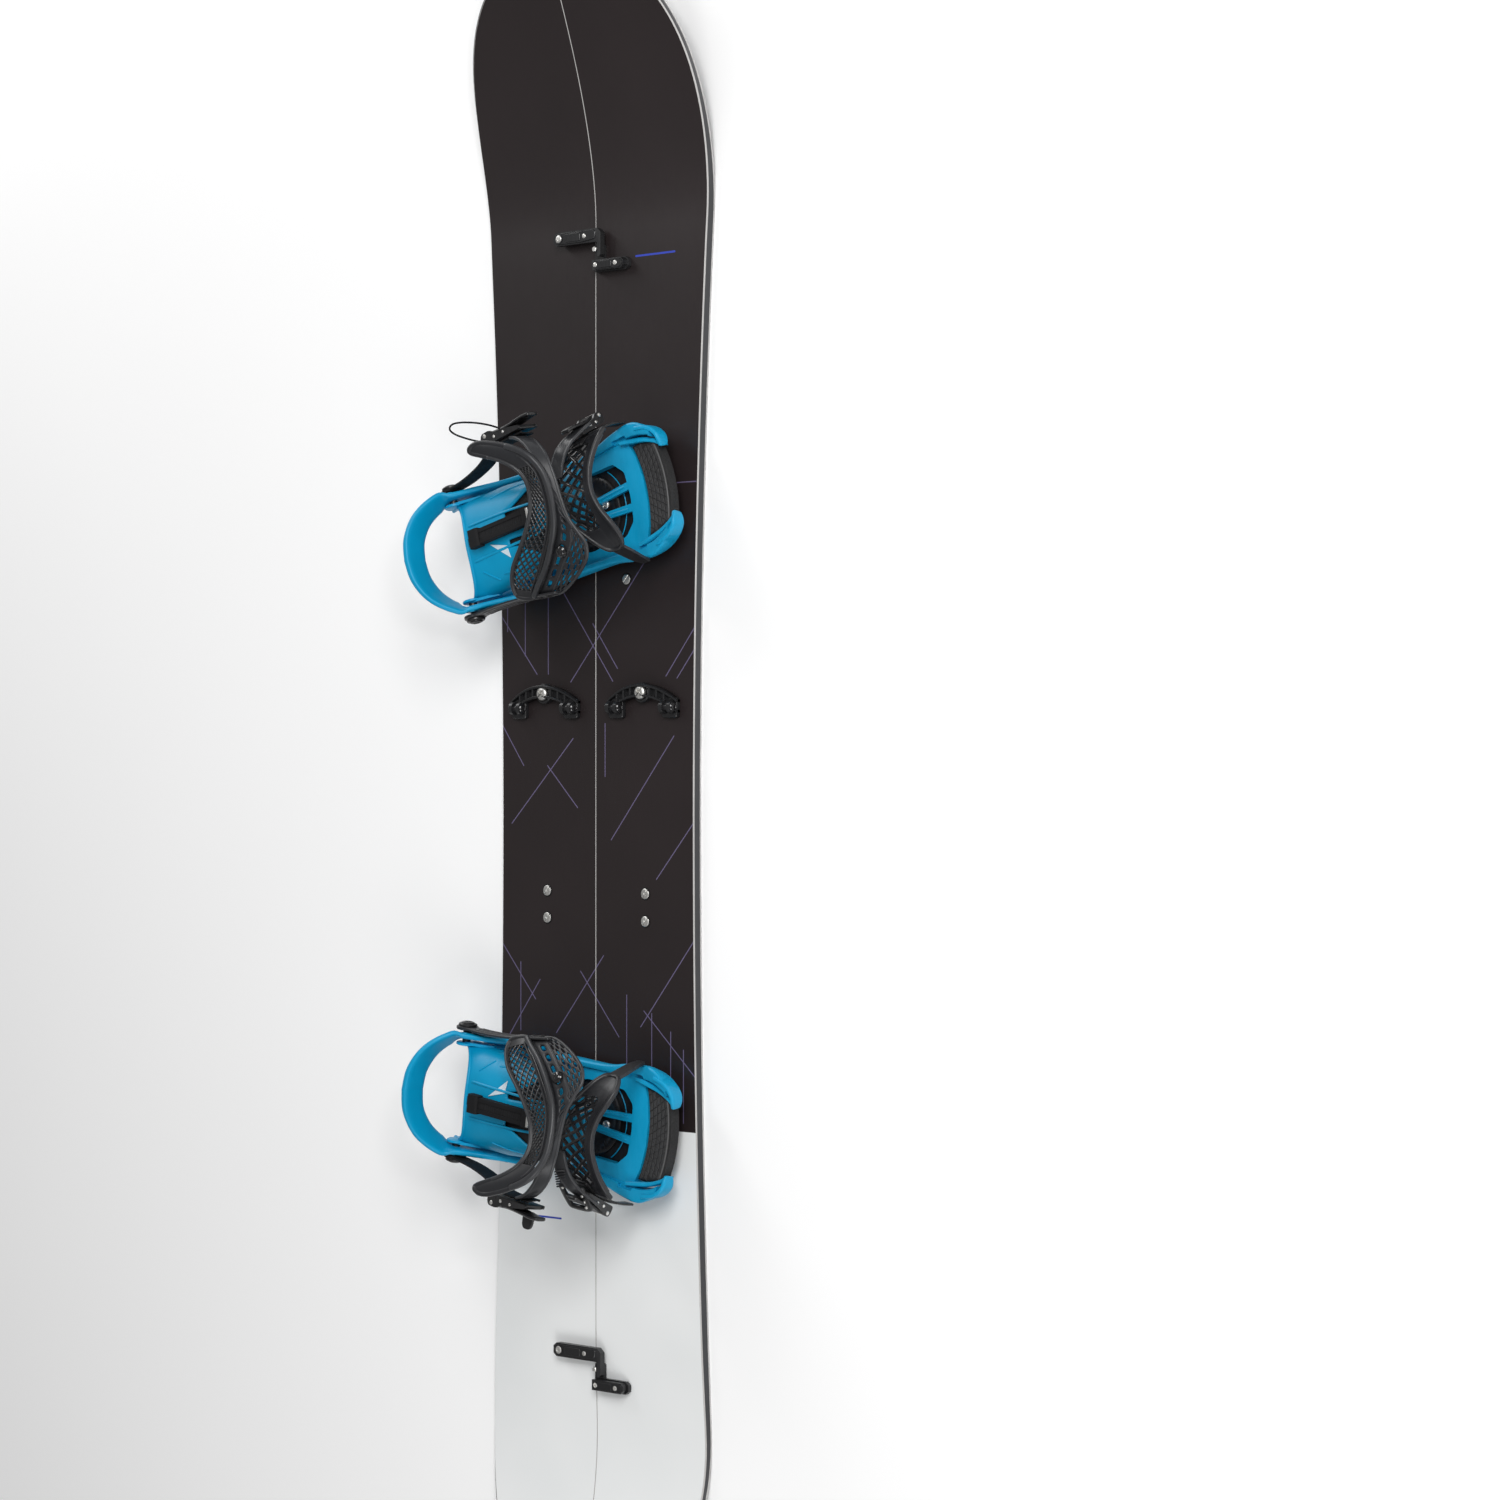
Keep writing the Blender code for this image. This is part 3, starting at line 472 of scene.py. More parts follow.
def raw(name, shape, mats):
    """A plain object from (verts, faces)."""
    mesh = bpy.data.meshes.new(name)
    mesh.from_pydata([tuple(v) for v in shape[0]], [], shape[1])
    for mat in mats if isinstance(mats, (list, tuple)) else [mats]:
        mesh.materials.append(mat)
    faces_outward(mesh)
    obj = bpy.data.objects.new(name, mesh)
    bpy.context.scene.collection.objects.link(obj)
    return obj


def piece(name, shape, mats, body, slots=(), **options):
    """One named piece in the row frame, riding on its body; slots number its faces' materials."""
    obj = raw(name, shape, mats)
    for poly, number in zip(obj.data.polygons, slots):
        poly.material_index = number
    finish_piece(obj, body, **options)
    return obj


def finish_piece(obj, body, smooth=True, angle=40, bevel=0.0, levels=0, replaces=(), slot=None):
    faces_outward(obj.data)
    if smooth:
        for poly in obj.data.polygons:
            poly.use_smooth = True
        if not levels:
            obj.data.set_sharp_from_angle(angle=math.radians(angle))
    round_edges(obj, bevel, levels)
    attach(obj, body)
    if replaces:
        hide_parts(*replaces)


def round_edges(obj, bevel, levels=0):
    if levels:
        sub = obj.modifiers.new("subdivision", "SUBSURF")
        sub.levels = sub.render_levels = levels
    if bevel:
        mod = obj.modifiers.new("edges", "BEVEL")
        mod.width, mod.segments, mod.limit_method = bevel, 2, "ANGLE"
        mod.angle_limit = math.radians(32)
        mod.harden_normals = True


def boolean(obj, tools, operation):
    """Joins or cuts each tool in turn, and removes it."""
    for tool in tools:
        step = obj.modifiers.new("solid", "BOOLEAN")
        step.operation, step.solver, step.object = operation, "EXACT", tool
        shape = bpy.data.meshes.new_from_object(
            obj.evaluated_get(bpy.context.evaluated_depsgraph_get()))
        obj.modifiers.clear()
        obj.data = shape
        bpy.data.objects.remove(tool, do_unlink=True)


# ---------------------------------------------------------------- board halves
def half_width(x):
    sidecut, round_x, power = ((NOSE_SIDECUT, NOSE_ROUND_X, 3.4) if x > WAIST_X
                               else (TAIL_SIDECUT, TAIL_ROUND_X, 2.6))
    t = (abs(x) - round_x) / (HALF_LENGTH - round_x)
    return (WAIST + sidecut * (x - WAIST_X) ** 2) * max(1 - max(t, 0.0) ** power, 0.0) ** 0.5


def rise(x):
    start, bend, ease = ((NOSE_RISE_X, 2.3, 4.6) if x > 0 else (TAIL_RISE_X, 1.3, 1.5))
    d = max(abs(x) - start, 0.0)
    return bend * d * d / (1 + ease * d)


def thickness(x):
    t = min(max((abs(x) - 0.50) / 0.20, 0.0), 1.0)
    return CORE_THICK + (TIP_THICK - CORE_THICK) * t * t * (3 - 2 * t)


STATION_COUNT = 150
STATIONS = [-0.7897 * math.cos(math.pi * i / STATION_COUNT) for i in range(STATION_COUNT + 1)]


def half_loop(side, inset, seam_inset):
    """Plan loop of one half, drawn in by inset: along the seam, then back along the outer side."""
    shrink_x, shrink_y = 1 - inset / HALF_LENGTH, 1 - inset / 0.130
    seam = GAP / 2 + seam_inset
    out = [(x * shrink_x, side * seam) for x in STATIONS]
    return out + [(x * shrink_x, side * max(half_width(x) * shrink_y, seam + 0.0002))
                  for x in reversed(STATIONS)]


def half_shell(side, levels):
    """Skin through (inset, seam inset, height above the base or None for full thickness, drop)."""
    verts = []
    for inset, seam_inset, height, drop in levels:
        for x, y in half_loop(side, inset, seam_inset):
            verts.append((x, y, rise(x) + (thickness(x) - drop if height is None else height)))
    size, faces, slots = 2 * len(STATIONS), [], []
    count = len(STATIONS)
    for level in range(len(levels) - 1):
        for j in range(size):
            k = (j + 1) % size
            a, b = level * size, (level + 1) * size
            faces.append((a + j, a + k, b + k, b + j))
            slots.append(level)
    for level, mark in ((0, "base"), (len(levels) - 1, "top")):
        for i in range(count - 1):
            j = level * size
            faces.append((j + i, j + i + 1, j + size - 2 - i, j + size - 1 - i))
            slots.append(mark)
    return verts, faces, slots


ROOM = EDGE_WIDTH + GAP
BOARD_LEVELS = ((ROOM, ROOM, 0.0, 0), (ROOM, ROOM, EDGE_HEIGHT + GAP, 0),
                (0.0, 0.0, EDGE_HEIGHT + GAP, 0), (0.0003, 0.0, 0.0026, 0),
                (SIDEWALL_SLANT - 0.0008, 0.0, None, 0.0012),
                (SIDEWALL_SLANT - 0.0004, 0.00005, None, 0.0005),
                (SIDEWALL_SLANT + 0.0002, 0.00040, None, 0.0))
LEVEL_MATS = {0: 3, 1: 2, 2: 2, 3: 2, 4: 1, 5: 1, "base": 3, "top": 0}
for which, side in (("heel", 1), ("toe", -1)):
    shell = half_shell(side, BOARD_LEVELS)
    piece(which + "_half_laminate", shell[:2], (TOP, EDGE_LINE, SIDEWALL, BASE), "board",
          angle=24, slots=[LEVEL_MATS[s] for s in shell[2]], replaces=(which + "_half",),
          slot="board_laminate")
    outer, inner = half_loop(side, 0.0, 0.0), half_loop(side, EDGE_WIDTH, EDGE_WIDTH)
    rings = [[(x, y, rise(x) + 0.0002), (x + (p - x) * 0.1, y + (q - y) * 0.1, rise(x)),
              (p, q, rise(p)), (p, q, rise(p) + EDGE_HEIGHT), (x, y, rise(x) + EDGE_HEIGHT)]
             for (x, y), (p, q) in zip(outer, inner)]
    piece(which + "_half_steel_edge_bar", loft(rings, closed=True), STEEL, "board", angle=50,
          replaces=(which + "_half_steel_edge",), slot="edge_steel")


# ---------------------------------------------------------------- strap surfaces (binding millimetres)
class Strap:
    """A strap's surface between its heel-side and toe-side edges.

    s runs along it from 0 to 1, w across it from -1 (heel side) to 1, and n stands off it.
    """

    def __init__(self, heel_edge, toe_edge, crown=0.0, count=80):
        heel, toe = spline(heel_edge, count), spline(toe_edge, count)
        self.rows, self.crown = [], crown
        middles = [(Vector(p) + Vector(q)) / 2 for p, q in zip(heel, toe)]
        for i, middle in enumerate(middles):
            flow = (middles[min(i + 1, count - 1)] - middles[max(i - 1, 0)]).normalized()
            wide = (Vector(toe[i]) - Vector(heel[i])) / 2
            out = wide.cross(flow).normalized()
            self.rows.append((middle, wide.normalized(), out, wide.length))

    def at(self, s, w, n=0.0):
        x = min(max(s, 0.0), 1.0) * (len(self.rows) - 1)
        i = min(int(x), len(self.rows) - 2)
        f = x - i
        (p, wa, oa, ha), (q, wb, ob, hb) = self.rows[i], self.rows[i + 1]
        wide, out = wa.lerp(wb, f), oa.lerp(ob, f).normalized()
        crown = self.crown * (1 - min(w * w, 1.0))
        return p.lerp(q, f) + wide * (ha + (hb - ha) * f) * w + out * (n + crown), out

    def bar(self, route, half_w, half_n, n=0.0, count=60, power=0.8, segments=8, closed=False):
        """A rounded bar through (s, w) control points."""
        spots = [self.at(*p[:2], n) for p in spline(route, count, closed)]
        return sweep_on(spots, half_w, half_n, power, segments, closed)

    def plate(self, s0, s1, low, high, thick, rows=24, cols=8, n=0.0, solid=None):
        """A flat plate between two edge functions of s."""
        top, bottom = [], []
        for r in range(rows + 1):
            s = s0 + (s1 - s0) * r / rows
            ws = [low(s) + (high(s) - low(s)) * c / cols for c in range(cols + 1)]
            top.append([tuple(self.at(s, w, n + thick / 2)[0]) for w in ws])
            bottom.append([tuple(self.at(s, w, n - thick / 2)[0]) for w in ws])
        return slab(top, bottom, solid)

    def lattice(self, s0, s1, low, high, across, pitch, half_w, half_n, n=0.0):
        """Bars running diagonally both ways between two edges."""
        shapes, steps = [], 4 * across
        slope = pitch * across
        for lean in (1, -1):
            for k in range(int((s1 - s0) / pitch) + across + 1):
                start = s0 - slope + k * pitch + pitch * 0.5
                spots = []
                for j in range(steps + 1):
                    t = j / steps
                    s = start + slope * t
                    if s0 <= s <= s1:
                        w = t if lean > 0 else 1 - t
                        spots.append(self.at(s, low(s) + (high(s) - low(s)) * w, n))
                if len(spots) > 2:
                    shapes.append(sweep_on(spots, half_w, half_n, 0.8, 6, cap=False))
        return merge(*shapes)


def ramp(*points):
    """Piecewise-linear function through (x, y) points, eased between them."""
    def value(x):
        if x <= points[0][0]:
            return points[0][1]
        for (x0, y0), (x1, y1) in zip(points, points[1:]):
            if x <= x1:
                t = (x - x0) / (x1 - x0)
                return y0 + (y1 - y0) * t * t * (3 - 2 * t)
        return points[-1][1]
    return value


def local_solid(at, along, out):
    """Profile maker for a ratchet: a along it, n off it, w across it."""
    along, out, at = Vector(along).normalized(), Vector(out), Vector(at)
    out = (out - along * out.dot(along)).normalized()
    side = along.cross(out)

    def spot(a, n, w):
        return tuple(at + along * a + out * n + side * w)
    return spot, along, out, side


def rounded(outline, radius, steps=3):
    """A closed outline with its corners rounded."""
    out, count = [], len(outline)
    for i, (x, y) in enumerate(outline):
        here = Vector((x, y))
        a, b = Vector(outline[i - 1]), Vector(outline[(i + 1) % count])
        reach = min(radius, (a - here).length * 0.45, (b - here).length * 0.45)
        p, q = here + (a - here).normalized() * reach, here + (b - here).normalized() * reach
        for k in range(steps + 1):
            t = k / steps
            out.append(tuple(p * (1 - t) ** 2 + here * 2 * t * (1 - t) + q * t * t))
    return out


# ---------------------------------------------------------------- bindings
def ladder_shape(path, out_hint, half, tooth_from):
    """Ladder strip: a thin core, two side rails and a row of cross teeth."""
    thick, pitch = 1.1, 2.6
    run = spline(path, 90)
    pts = [Vector(p) for p in run]
    length = [0.0]
    for a, b in zip(pts, pts[1:]):
        length.append(length[-1] + (b - a).length)
    outs = []
    for i in range(len(pts)):
        flow = (pts[min(i + 1, 89)] - pts[max(i - 1, 0)]).normalized()
        hint = Vector(out_hint(i / 89))
        outs.append((hint - flow * hint.dot(flow)).normalized())

    def spot(distance):
        for i in range(89):
            if length[i + 1] >= distance:
                f = (distance - length[i]) / max(length[i + 1] - length[i], 1e-9)
                flow = (pts[i + 1] - pts[i]).normalized()
                return pts[i].lerp(pts[i + 1], f), outs[i].lerp(outs[i + 1], f).normalized(), flow
        return pts[-1], outs[-1], (pts[-1] - pts[-2]).normalized()

    shapes = [sweep(pts, outs, half, thick * 0.62, 0.5, 12)]
    for s in (-1, 1):
        rail = []
        for i, p in enumerate(pts):
            flow = (pts[min(i + 1, 89)] - pts[max(i - 1, 0)]).normalized()
            rail.append(p + flow.cross(outs[i]) * s * (half - 1.3) + outs[i] * thick * 0.6)
        shapes.append(sweep(rail, outs, 1.0, 0.9, 0.7, 8))
    at = tooth_from
    while at < length[-1] - 3:
        p, out, flow = spot(at)
        side = flow.cross(out)
        wedge = ((-0.95, 0.3), (0.95, 0.3), (0.55, 1.75), (-0.15, 1.75))
        shapes.append(loft([[tuple(p + side * w + flow * a + out * n) for a, n in wedge]
                            for w in (-half + 2.2, half - 2.2)]))
        at += pitch
    return merge(*shapes)


def ratchet_shapes(at, along, out, length, wide):
    """Ratchet body, its pins, and the lever; sizes in millimetres."""
    spot, along, out, side = local_solid(at, along, out)
    h = length / 2

    def bridge(outline, w0, w1):
        return loft([[spot(a, n, w) for a, n in outline] for w in (w0, w1)])

    cheek = rounded(((-h, 0.4), (h, 0.4), (h, 3.6), (h * 0.45, 6.6), (-h * 0.30, 8.6),
                     (-h * 0.5, 12.0), (-h * 0.9, 11.4), (-h, 7.5)), 2.6)
    body = [bridge(cheek, s * (wide - 2.3), s * wide) for s in (-1, 1)]
    floor = rounded(((-h + 1, 0.3), (h - 1, 0.3), (h - 1, 2.4), (-h + 1, 2.4)), 0.7)
    body.append(bridge(floor, -wide + 1, wide - 1))
    nose = rounded(((h - 9, 2.0), (h - 1.0, 2.0), (h - 2.4, 4.4), (h - 8, 5.6)), 1.0)
    body.append(bridge(nose, -wide + 1.5, wide - 1.5))
    heel = rounded(((-h + 1, 2.0), (-h + 7, 2.0), (-h + 6, 4.6), (-h + 1.5, 5.4)), 1.0)
    body.append(bridge(heel, -wide + 1.5, wide - 1.5))
    hinge = (-h * 0.76, 8.4)
    pins = []
    for a, n, r in (hinge + (2.0,), (h * 0.20, 4.6, 1.5), (-h * 0.30, 4.4, 1.5)):
        for s in (-1, 1):
            pins.append(turned(spot(a, n, s * (wide - 0.4)), side * s,
                               ((r, 0), (r, 0.9), (r * 0.72, 1.3)), 16))
    pins.append(turned(spot(*hinge, -wide + 1), side, ((1.6, 0), (1.6, 2 * wide - 2)), 16))
    coil = [ring_of(spot(*hinge, w), side, 2.6, 0.55, 0.55, 20, 6)
            for w in (-4.2, -2.4, -0.6, 1.2, 3.0)]
    reach = wide - 3.6
    stations = ((-h * 0.84, 8.4, 2.3, 0.90), (-h * 0.55, 8.6, 2.9, 0.96), (-h * 0.1, 8.3, 2.1, 1.0),
                (h * 0.4, 9.0, 1.7, 1.0), (h * 0.85, 10.2, 1.5, 0.98), (h * 1.15, 10.8, 1.6, 0.92),
                (h * 1.38, 10.6, 1.9, 0.74))
    run = spline(stations, 26)
    lever = [sweep([spot(a, n, 0) for a, n, t, k in run], [out] * 26,
                   [reach * k for a, n, t, k in run], [t for a, n, t, k in run], 0.55, 16)]
    for i in range(5):
        a = h * (0.86 + 0.11 * i)
        n = 11.7 + 0.5 * (i / 4) - (0.35 if i == 4 else 0)
        lever.append(sweep([spot(a, n, w) for w in (-reach * 0.7, 0, reach * 0.7)], [out] * 3,
                           0.7, 0.6, 0.8, 8))
    for s in (-1, 1):
        lever.append(sweep([spot(a, n + t * 0.72, s * reach * 0.78 * k) for a, n, t, k in run[2:22]],
                           [out] * 20, 0.8, 0.7, 0.8, 8))
    return merge(*body), merge(*pins, *coil), merge(*lever)


def highback_spot(s, t, n=0.0):
    """Outer surface of the folded highback: s from inner to outer edge, t from heel to toe end."""
    start, finish = -100 - 38 * abs(s) ** 2.4, 46 - 26 * abs(s) ** 3
    half = 50.0 - 1.5 * t - 9 * max(t - 0.45, 0) / 0.55
    crest, edge = 77 + 4 * math.sin(math.pi * min(t * 1.2, 1)) - 11 * t, 46 + 6 * t
    lean = math.radians(88) * s
    out = Vector((0, math.sin(lean), math.cos(lean)))
    return Vector((start + (finish - start) * t, half * math.sin(lean),
                   edge + (crest - edge) * math.cos(lean))) + out * n, out


def heel_hoop(add):
    """One moulded band, its flat side upright, with inner webs beside the highback."""
    arms = spline(((-50, 56.2, 27), (-76, 56.2, 35), (-100, 56.2, 48), (PIVOT_U, 55.6, 61),
                   (-133, 51.0, 74), (-143, 38.0, 87), (-149, 20.0, 95), (-151, 0, 97)), 49)
    trail = [Vector(p) for p in arms] + [Vector((u, -v, z)) for u, v, z in reversed(arms[:-1])]
    outs = []
    for i in range(len(trail)):
        flow = (trail[min(i + 1, 96)] - trail[max(i - 1, 0)]).normalized()
        outs.append(Vector((0, 0, 1)).cross(flow).normalized())
    tall = [9 + 3.5 * min(max((-66 - p.x) / 56, 0), 1) for p in trail]
    hoop = sweep(trail, outs, tall, 3.1, 0.52, 20)
    lip = []
    for shift, inside in ((1, 1), (-1, 1)):
        edge = [p + Vector((0, 0, 1)) * (t - 1.6) * shift - o * 2.4 * inside
                for p, o, t in zip(trail, outs, tall)]
        lip.append(sweep(edge[18:79], outs[18:79], 0.9, 1.1, 0.8, 8))
    web = []
    for s in (-1, 1):
        run = [(p.x, min(p.z - 6.5, 41.5)) for p in trail[2:25]]
        web.append(loft([[(u, s * v, z + h) for v, h in
                          ((50.9, 0), (55.4, 0), (55.4, 2.6), (51.5, 2.6), (50.9, 2.0))]
                         for u, z in run]))
    add("heel_hoop_moulding", merge(hoop, *lip, *web), BLUE, "binding", angle=45,
        stands_for=("heel_hoop",), slot="moulded_blue")


def highback(add):
    """Shell with its windows, rolled rim and panel ridges, and the liner under it."""
    rows, cols = 24, 28
    window_inner = ramp((0.0, 0.13), (0.36, 0.15), (0.74, 0.20), (1.0, 0.16))
    window_outer = ramp((0.0, 0.40), (0.37, 0.22), (0.72, 0.62), (1.0, 0.55))

    def column(c, t):
        """Columns gather along the window's edges, so that it is cut along clean lines."""
        k, a, b = abs(c - cols / 2), window_inner(t), window_outer(t)
        s = a * k / 2 if k < 2 else a + (b - a) * (k - 2) / 5 if k < 7 else b + (1 - b) * (k - 7) / 7
        return math.copysign(s, c - cols / 2)

    top = [[highback_spot(column(c, r / rows), r / rows)[0] for c in range(cols + 1)]
           for r in range(rows + 1)]
    low = [[highback_spot(column(c, r / rows), r / rows, -3.4)[0] for c in range(cols + 1)]
           for r in range(rows + 1)]

    def shell_cell(r, c):
        side = c if c < cols / 2 else cols - 1 - c
        return not (9 <= r <= 16 and 7 <= side <= 11)

    add("highback_shell", slab(top, low, shell_cell), BLUE, "highback_body", levels=1,
        stands_for=("highback",), slot="moulded_blue")
    ridges = []
    for s in (-0.235, 0.235):
        spots = [highback_spot(s * (1 - 0.15 * t), t, 0.3) for t in
                 [0.05 + 0.60 * i / 24 for i in range(25)]]
        ridges.append(sweep_on(spots, 1.3, 0.9, 0.8, 8))
    for s0, t0, s1, t1 in ((-0.55, 0.28, -0.66, 0.62), (0.55, 0.28, 0.66, 0.62),
                           (-0.40, 0.10, -0.62, 0.24)):
        spots = [highback_spot(s0 + (s1 - s0) * i / 20, t0 + (t1 - t0) * i / 20, 0.1)
                 for i in range(21)]
        ridges.append(sweep_on(spots, 0.8, 0.6, 0.8, 8))
    rim = [highback_spot(-0.985 + 1.97 * i / 60, 0.004, -1.7) for i in range(61)]
    ridges.append(sweep_on(rim, 1.9, 2.5, 0.8, 12))
    for s in (-1, 1):
        ridges.append(turned((PIVOT_U, 0, PIVOT_Z), (0, s, 0), ((8.8, 46.2), (9.4, 46.6),
                                                                (9.4, 48.4), (8.8, 48.8)), 40))
        neck = rounded(((-125, 48), (-96, 43), (-92, 51), (-117, 62), (-124, 62)), 5.0)
        ridges.append(across(neck, s * 47.0, s * 49.7))
    add("highback_ridges", merge(*ridges), BLUE, "highback_body", slot="moulded_blue")
    # a flat pale triangle just over the shell: a painted reflection of the glossy shell's sheen
    facet = []
    for n in (0.25, 0.9):
        facet.append([tuple(highback_spot(s, t, n)[0]) for s, t in
                      ((-0.11, 0.215), (-0.20, 0.355), (-0.37, 0.365))])
    add("highback_accent", loft(facet), PAINTED_SHEEN, "highback_body", smooth=False, bevel=0.0002,
        slot="moulded_blue")

    pad_top, pad_low = [], []
    for r in range(13):
        t = 0.28 + 0.60 * r / 12
        spots = [highback_spot((2 * c / 16 - 1) * 50 / 88, t) for c in range(17)]
        spots = [(Vector((-100 + 146 * t, p.y, p.z)), o) for p, o in spots]
        pad_top.append([p - o * 4.4 for p, o in spots])
        pad_low.append([p - o * 9.0 for p, o in spots])
    pad = add("highback_liner", slab(pad_top, pad_low), FOAM, "highback_body", levels=1,
              stands_for=("highback_pad",), slot="pad_foam")


def lean_bar(add):
    """Forward-lean bar: two rails, a ribbed floor between them and a slider."""
    rail = rounded(((-80, 80.9), (-4, 80.3), (-4, 86.6), (-10, 87.6), (-74, 88.6), (-80, 88.0)), 1.6)
    bar = [across(rail, s * 7.4, s * 3.4) for s in (-1, 1)]
    bar.append(across(((-79, 81.2), (-5, 80.6), (-5, 84.6), (-79, 85.4)), -4, 4))
    bar.append(across(((-79, 81.2), (-5, 80.6), (-5, 86.4), (-79, 87.6)), -4, 4))
    for i in range(22):
        u = -72 + i * 2.8
        bar.append(across([(u + a, 86.9 + n - (u + 71) * 0.014) for a, n in
                           ((-0.8, 0), (0.8, 0), (0.5, 0.9), (-0.2, 0.9))], -3.6, 3.6))
    slider = rounded(((-85, 81.6), (-71, 81.2), (-71, 89.0), (-73, 90.4), (-83, 90.4), (-85, 88)), 1.6)
    bar.append(across(slider, -8.8, 8.8))
    step = rounded(((-88, 81.6), (-84, 81.4), (-84, 86.8), (-88, 86.4)), 1.2)
    bar.append(across(step, -5.6, 2.8))
    end = rounded(((-12, 80.4), (-1, 80.0), (-1, 88.6), (-3, 89.6), (-11, 89.8), (-12, 88)), 1.6)
    bar.append(across(end, -8.0, 8.0))
    add("lean_bar", merge(*bar), DARK, "highback_body", bevel=0.0004, angle=30,
        stands_for=("lean_adjuster",), slot="moulded_black")
    strip = rounded(((-4.6, 86.0), (-1.9, 86.0), (-1.9, 90.2), (-4.6, 90.4)), 0.6)
    add("lean_bar_insert", across(strip, -6.6, 6.6), SILVER, "highback_body", bevel=0.0002,
        angle=30, slot="screw_steel")


def baseplate(label, add, tool):
    """Floor, rails growing into the toe wings, a window round the disc and two spokes."""
    floor = [(-126, 40), (-120, 47), (-48, 49), (30, 51), (60, 54), (74, 53), (82, 34), (86.2, 12)]
    floor += [(u, -v) for u, v in reversed(floor)]
    plate = tool(prism(floor, PLATE_Z, 21))
    sides = []
    for s in (-1, 1):
        run = spline(((-126.6, 48.6, 29, 0), (-125, 49, 34, 0), (-118, 49.3, 39, 0),
                      (-108, 49.5, 41.5, 0), (-80, 49.5, 40, 0), (-48, 51, 31, 0),
                      (-10, 52, 27, 0), (30, 53, 25, 1), (60, 55.5, 26, 5), (86, 56, 29, 7),
                       (102, 52.5, 31, 5), (113, 47.0, 32, 1.5)), 56)
        rings = [[(u, s * (v - 5), PLATE_Z), (u, s * (v + 1 + flare / 2), PLATE_Z),
                  (u, s * (v + 1.6 + flare * 0.8), (PLATE_Z + top) / 2 - 1),
                  (u, s * (v + 1.5 + flare), top - 2.6), (u, s * (v + 1.0 + flare), top - 0.9),
                  (u, s * (v + flare - 0.4), top), (u, s * (v - 2), top),
                  (u, s * (v - 4.4), top - 1.2)] for u, v, top, flare in run]
        sides.append(tool(loft(rings)))
        hook = spline(((96, 55.8, 24.0, 8.0, 2.6), (106, 53.6, 24.5, 8.2, 2.5),
                       (114, 49.6, 24.6, 8.2, 2.4), (119.2, 43.6, 24.4, 7.8, 2.2),
                       (120.6, 37.6, 24.0, 7.0, 2.0), (120.2, 32.6, 23.2, 5.4, 1.6)), 30)
        sides.append(tool(sweep([(u, s * v, z) for u, v, z, h, w in hook], [(0, 0, 1)] * 30,
                                [w for u, v, z, h, w in hook], [h for u, v, z, h, w in hook],
                                0.5, 20)))
        ledge = spline(((70, 49.5), (84, 46.8), (98, 44.0), (110, 39.6), (117, 35.4)), 20)
        sides.append(tool(loft([[(u, s * (v + a), z) for a, z in
                                 ((-1.7, PLATE_Z), (3.0, PLATE_Z), (3.0, 25.0), (1.6, 26.6),
                                  (-0.9, 26.6), (-1.7, 25.8))] for u, v in ledge])))
    boolean(plate, sides, "UNION")
    cuts = [tool(prism(disc_points(DISC_U, 0, DISC_R + 0.4, 48), 0, 60))]
    mouth = rounded([(DISC_U, 35), (52, 35.5), (64.5, 24), (66.5, 0), (64.5, -24), (52, -35.5),
                     (DISC_U, -35)], 3.0)
    cuts.append(tool(prism(mouth, 0, 60)))
    for s in (-1, 1):
        slot = rounded([(93, 47.2), (109, 42.5), (111, 45.4), (95, 50.4)], 1.4)
        cuts.append(tool(prism([(u, s * v) for u, v in slot], 27, 60)))
        slot = rounded([(60, 51.0), (80, 50.6), (80, 54.6), (60, 54.6)], 1.6)
        cuts.append(tool(prism([(u, s * v) for u, v in slot], 22.5, 60)))
        pocket = rounded([(-36, 38), (-4, 41), (-4, 45.5), (-36, 45)], 1.6)
        cuts.append(tool(prism([(u, s * v) for u, v in pocket], 18.4, 60)))
        pocket = rounded([(-84, 20), (-56, 12), (-56, 40), (-84, 40)], 3.0)
        cuts.append(tool(prism([(u, s * v) for u, v in pocket], 17.5, 60)))
    boolean(plate, cuts, "DIFFERENCE")
    blades = []
    for s in (-1, 1):
        blade = [(-30, s * 2), (68, s * 7), (68, s * 14.5), (-30, s * 6.5)]
        blades.append(tool(prism(blade, 16.4, 20.2)))
    boolean(plate, blades, "UNION")
    plate.name = f"{label}_baseplate_moulding"
    finish_piece(plate, f"{label}_binding", angle=30, bevel=0.0006,
                 replaces=(f"{label}_baseplate",), slot="moulded_blue")
    trim = []
    arc = [Vector((DISC_U + 43 * math.cos(a), 43 * math.sin(a), 13.6)) for a in
           [math.radians(-50 + 100 * i / 40) for i in range(41)]]
    trim.append(sweep(arc, [(0, 0, 1)] * 41, 0.55, 0.5, 1.0, 8))
    for s in (-1, 1):
        trim.append(sweep([(18 + 42 * i / 6, s * (8.2 + 2.7 * i / 6), 20.4) for i in range(7)],
                          [(0, 0, 1)] * 7, 1.1, 0.7, 0.8, 8))
    add("baseplate_trim", merge(*trim), BLUE, "binding", slot="moulded_blue")


